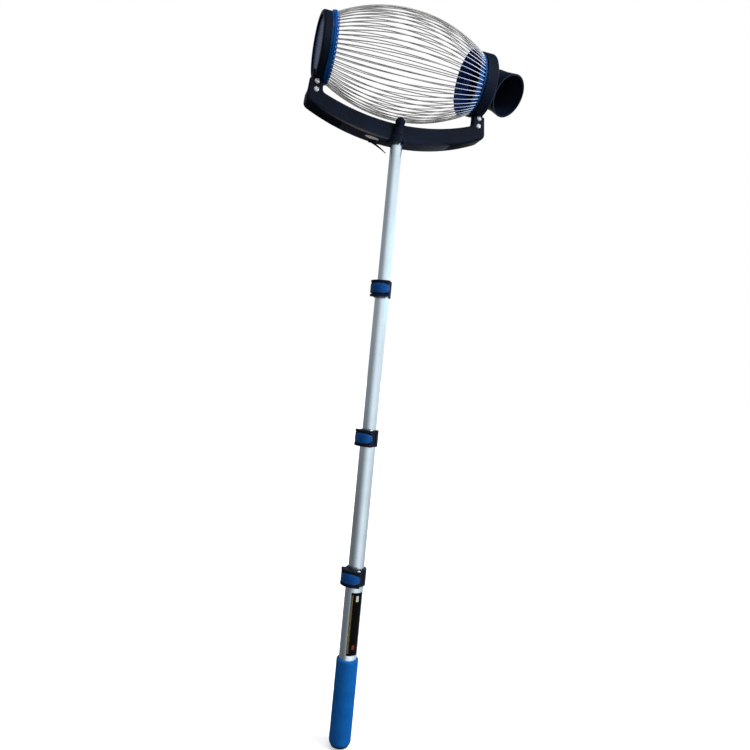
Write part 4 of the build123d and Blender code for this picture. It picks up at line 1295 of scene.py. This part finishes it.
screen_rows = ((FLOOR_GAP, FLOOR_SHADE), (SCREEN_LOW, FLOOR_SHADE),
               (SCREEN_HIP, (1 + FLOOR_SHADE) / 2), (SCREEN_TOP, 1.0))
screen = [[(out_from_pole(turn, SCREEN_RADIUS, height), card_grey(turn, shade))
           for height, shade in screen_rows] for turn in CARD_TURNS]
wall = [[(out_from_pole(turn, WALL_RADIUS, height), card_grey(turn, 1.0))
         for height in (FLOOR_GAP, WALL_HEIGHT)] for turn in CARD_TURNS if turn >= WALL_FROM]
print("columns of the wall and the screen:", len(wall), len(screen))

# %% Cards, cloth and flags
CLOTH_COLOUR, CLOTH_REACH, CLOTH_TURNS = linear("#26221F"), 8.0, range(25, 201, 5)
FLAG_X, FLAG_Y, FLAG_Z, FLAG_COLOUR = (-0.9, 0.25), (-1.2, 0.5), 0.97, linear("#0C0C0E")
HOOD_X, HOOD_Y, HOOD_Z = (1.1, -1.2), (-0.5, 0.9), 2.1
GLARE_X, GLARE_Y, GLARE_Z = 1.0, (0.5, -1.0), (0.72, 1.12)
GLARE_COLOUR, GLARE_STRENGTH = linear("#BAD3FF"), 2.0


def only_reflected(name, columns, strength=1.0):
    """A sheet through columns of (point, colour) that shows, from its front, in reflections only."""
    material, tree = new_material(name)
    tone = add_node(tree, "ShaderNodeAttribute", attribute_name="tone")
    front = add_node(tree, "ShaderNodeBsdfPrincipled", {
        "Base Color": (0, 0, 0, 1), "Specular IOR Level": 0.0, "Emission Color": tone,
        "Emission Strength": strength})
    from_behind = add_node(tree, "ShaderNodeNewGeometry").outputs["Backfacing"]
    clear = add_node(tree, "ShaderNodeBsdfTransparent")
    one_sided = add_node(tree, "ShaderNodeMixShader", {0: from_behind, 1: front, 2: clear})
    add_node(tree, "ShaderNodeOutputMaterial", {"Surface": one_sided})
    bm = bmesh.new()
    tones = bm.verts.layers.float_color.new("tone")
    grid = [[bm.verts.new(point) for point, _ in column] for column in columns]
    for row, column in zip(grid, columns):
        for vert, (_, colour) in zip(row, column):
            vert[tones] = colour
    for a, b in zip(grid, grid[1:]):
        for i in range(len(a) - 1):
            bm.faces.new((a[i], b[i], b[i + 1], a[i + 1]))
    sheet = stage_piece(name, bm, material)
    sheet.visible_camera = sheet.visible_diffuse = sheet.visible_shadow = False
    print("hung", name)


cloth = [[(out_from_pole(turn, reach, FLOOR_GAP), CLOTH_COLOUR) for reach in (0, CLOTH_REACH)]
         for turn in CLOTH_TURNS]
flag = [[(Vector((x, y, FLAG_Z)), FLAG_COLOUR) for y in FLAG_Y] for x in FLAG_X]
hood = [[(Vector((x, y, HOOD_Z)), FLAG_COLOUR) for y in HOOD_Y] for x in HOOD_X]
glare = [[(Vector((GLARE_X, y, z)), GLARE_COLOUR) for z in GLARE_Z] for y in GLARE_Y]
only_reflected("card_wall", wall)
only_reflected("card_screen", screen)
only_reflected("dark_cloth", cloth)
only_reflected("black_flag", flag)
only_reflected("black_hood", hood)
only_reflected("bright_card", glare, GLARE_STRENGTH)

# %% [markdown]
# ## Lamps
# Two softboxes light the object: a large one in front to the right, and one from above for the barrel.
# Reflections don't show them, because the cards already shape what the metal mirrors.

# %% Lamps
def softbox(name, place, target, size, power):
    light = bpy.data.lights.new(name, "AREA")
    light.shape, light.size, light.size_y = "RECTANGLE", size[0], size[1]
    light.energy = power
    lamp = bpy.data.objects.new(name, light)
    lamp.location = place
    lamp.rotation_euler = (Vector(target) - Vector(place)).to_track_quat("-Z", "Y").to_euler()
    lamp.visible_glossy = False
    bpy.context.collection.objects.link(lamp)
    print("softbox", name, "of", power, "W")


softbox("key", (1.5, -1.5, 1.6), (0, 0, 0.6), (1.0, 1.8), 44)
softbox("top", (0.2, -0.5, 2.6), (0, 0, 1.0), (1.4, 0.9), 18)

# %% [markdown]
# ## Camera
# The picture was taken from a little to the left of the front, level with the middle of the pole, with the
# camera rolled so that the pole leans to the right.  The camera's own axes are worked out first, because a
# roll is easier to read there than in Euler angles.

# %% Camera
CAMERA_PLACE = Vector((-0.2856, -0.9380, 0.5894))
CAMERA_ROLL = radians(5.45)
FOCAL_PIXELS, FRAME_PIXELS, SENSOR = 622.1, 750.0, 36.0

right = VIEW.cross(Vector((0, 0, 1)))
up = right.cross(VIEW)
image_right = right * cos(CAMERA_ROLL) + up * sin(CAMERA_ROLL)
image_up = up * cos(CAMERA_ROLL) - right * sin(CAMERA_ROLL)
camera_data = bpy.data.cameras.new("camera")
camera_data.sensor_width = SENSOR
camera_data.lens = SENSOR * FOCAL_PIXELS / FRAME_PIXELS
camera = bpy.data.objects.new("camera", camera_data)
rotation = Matrix((image_right, image_up, -VIEW)).transposed()
camera.matrix_world = Matrix.Translation(CAMERA_PLACE) @ rotation.to_4x4()
bpy.context.collection.objects.link(camera)
bpy.context.scene.camera = camera
bpy.context.scene.view_settings.view_transform = "Standard"
print("lens", round(camera_data.lens, 2), "mm")
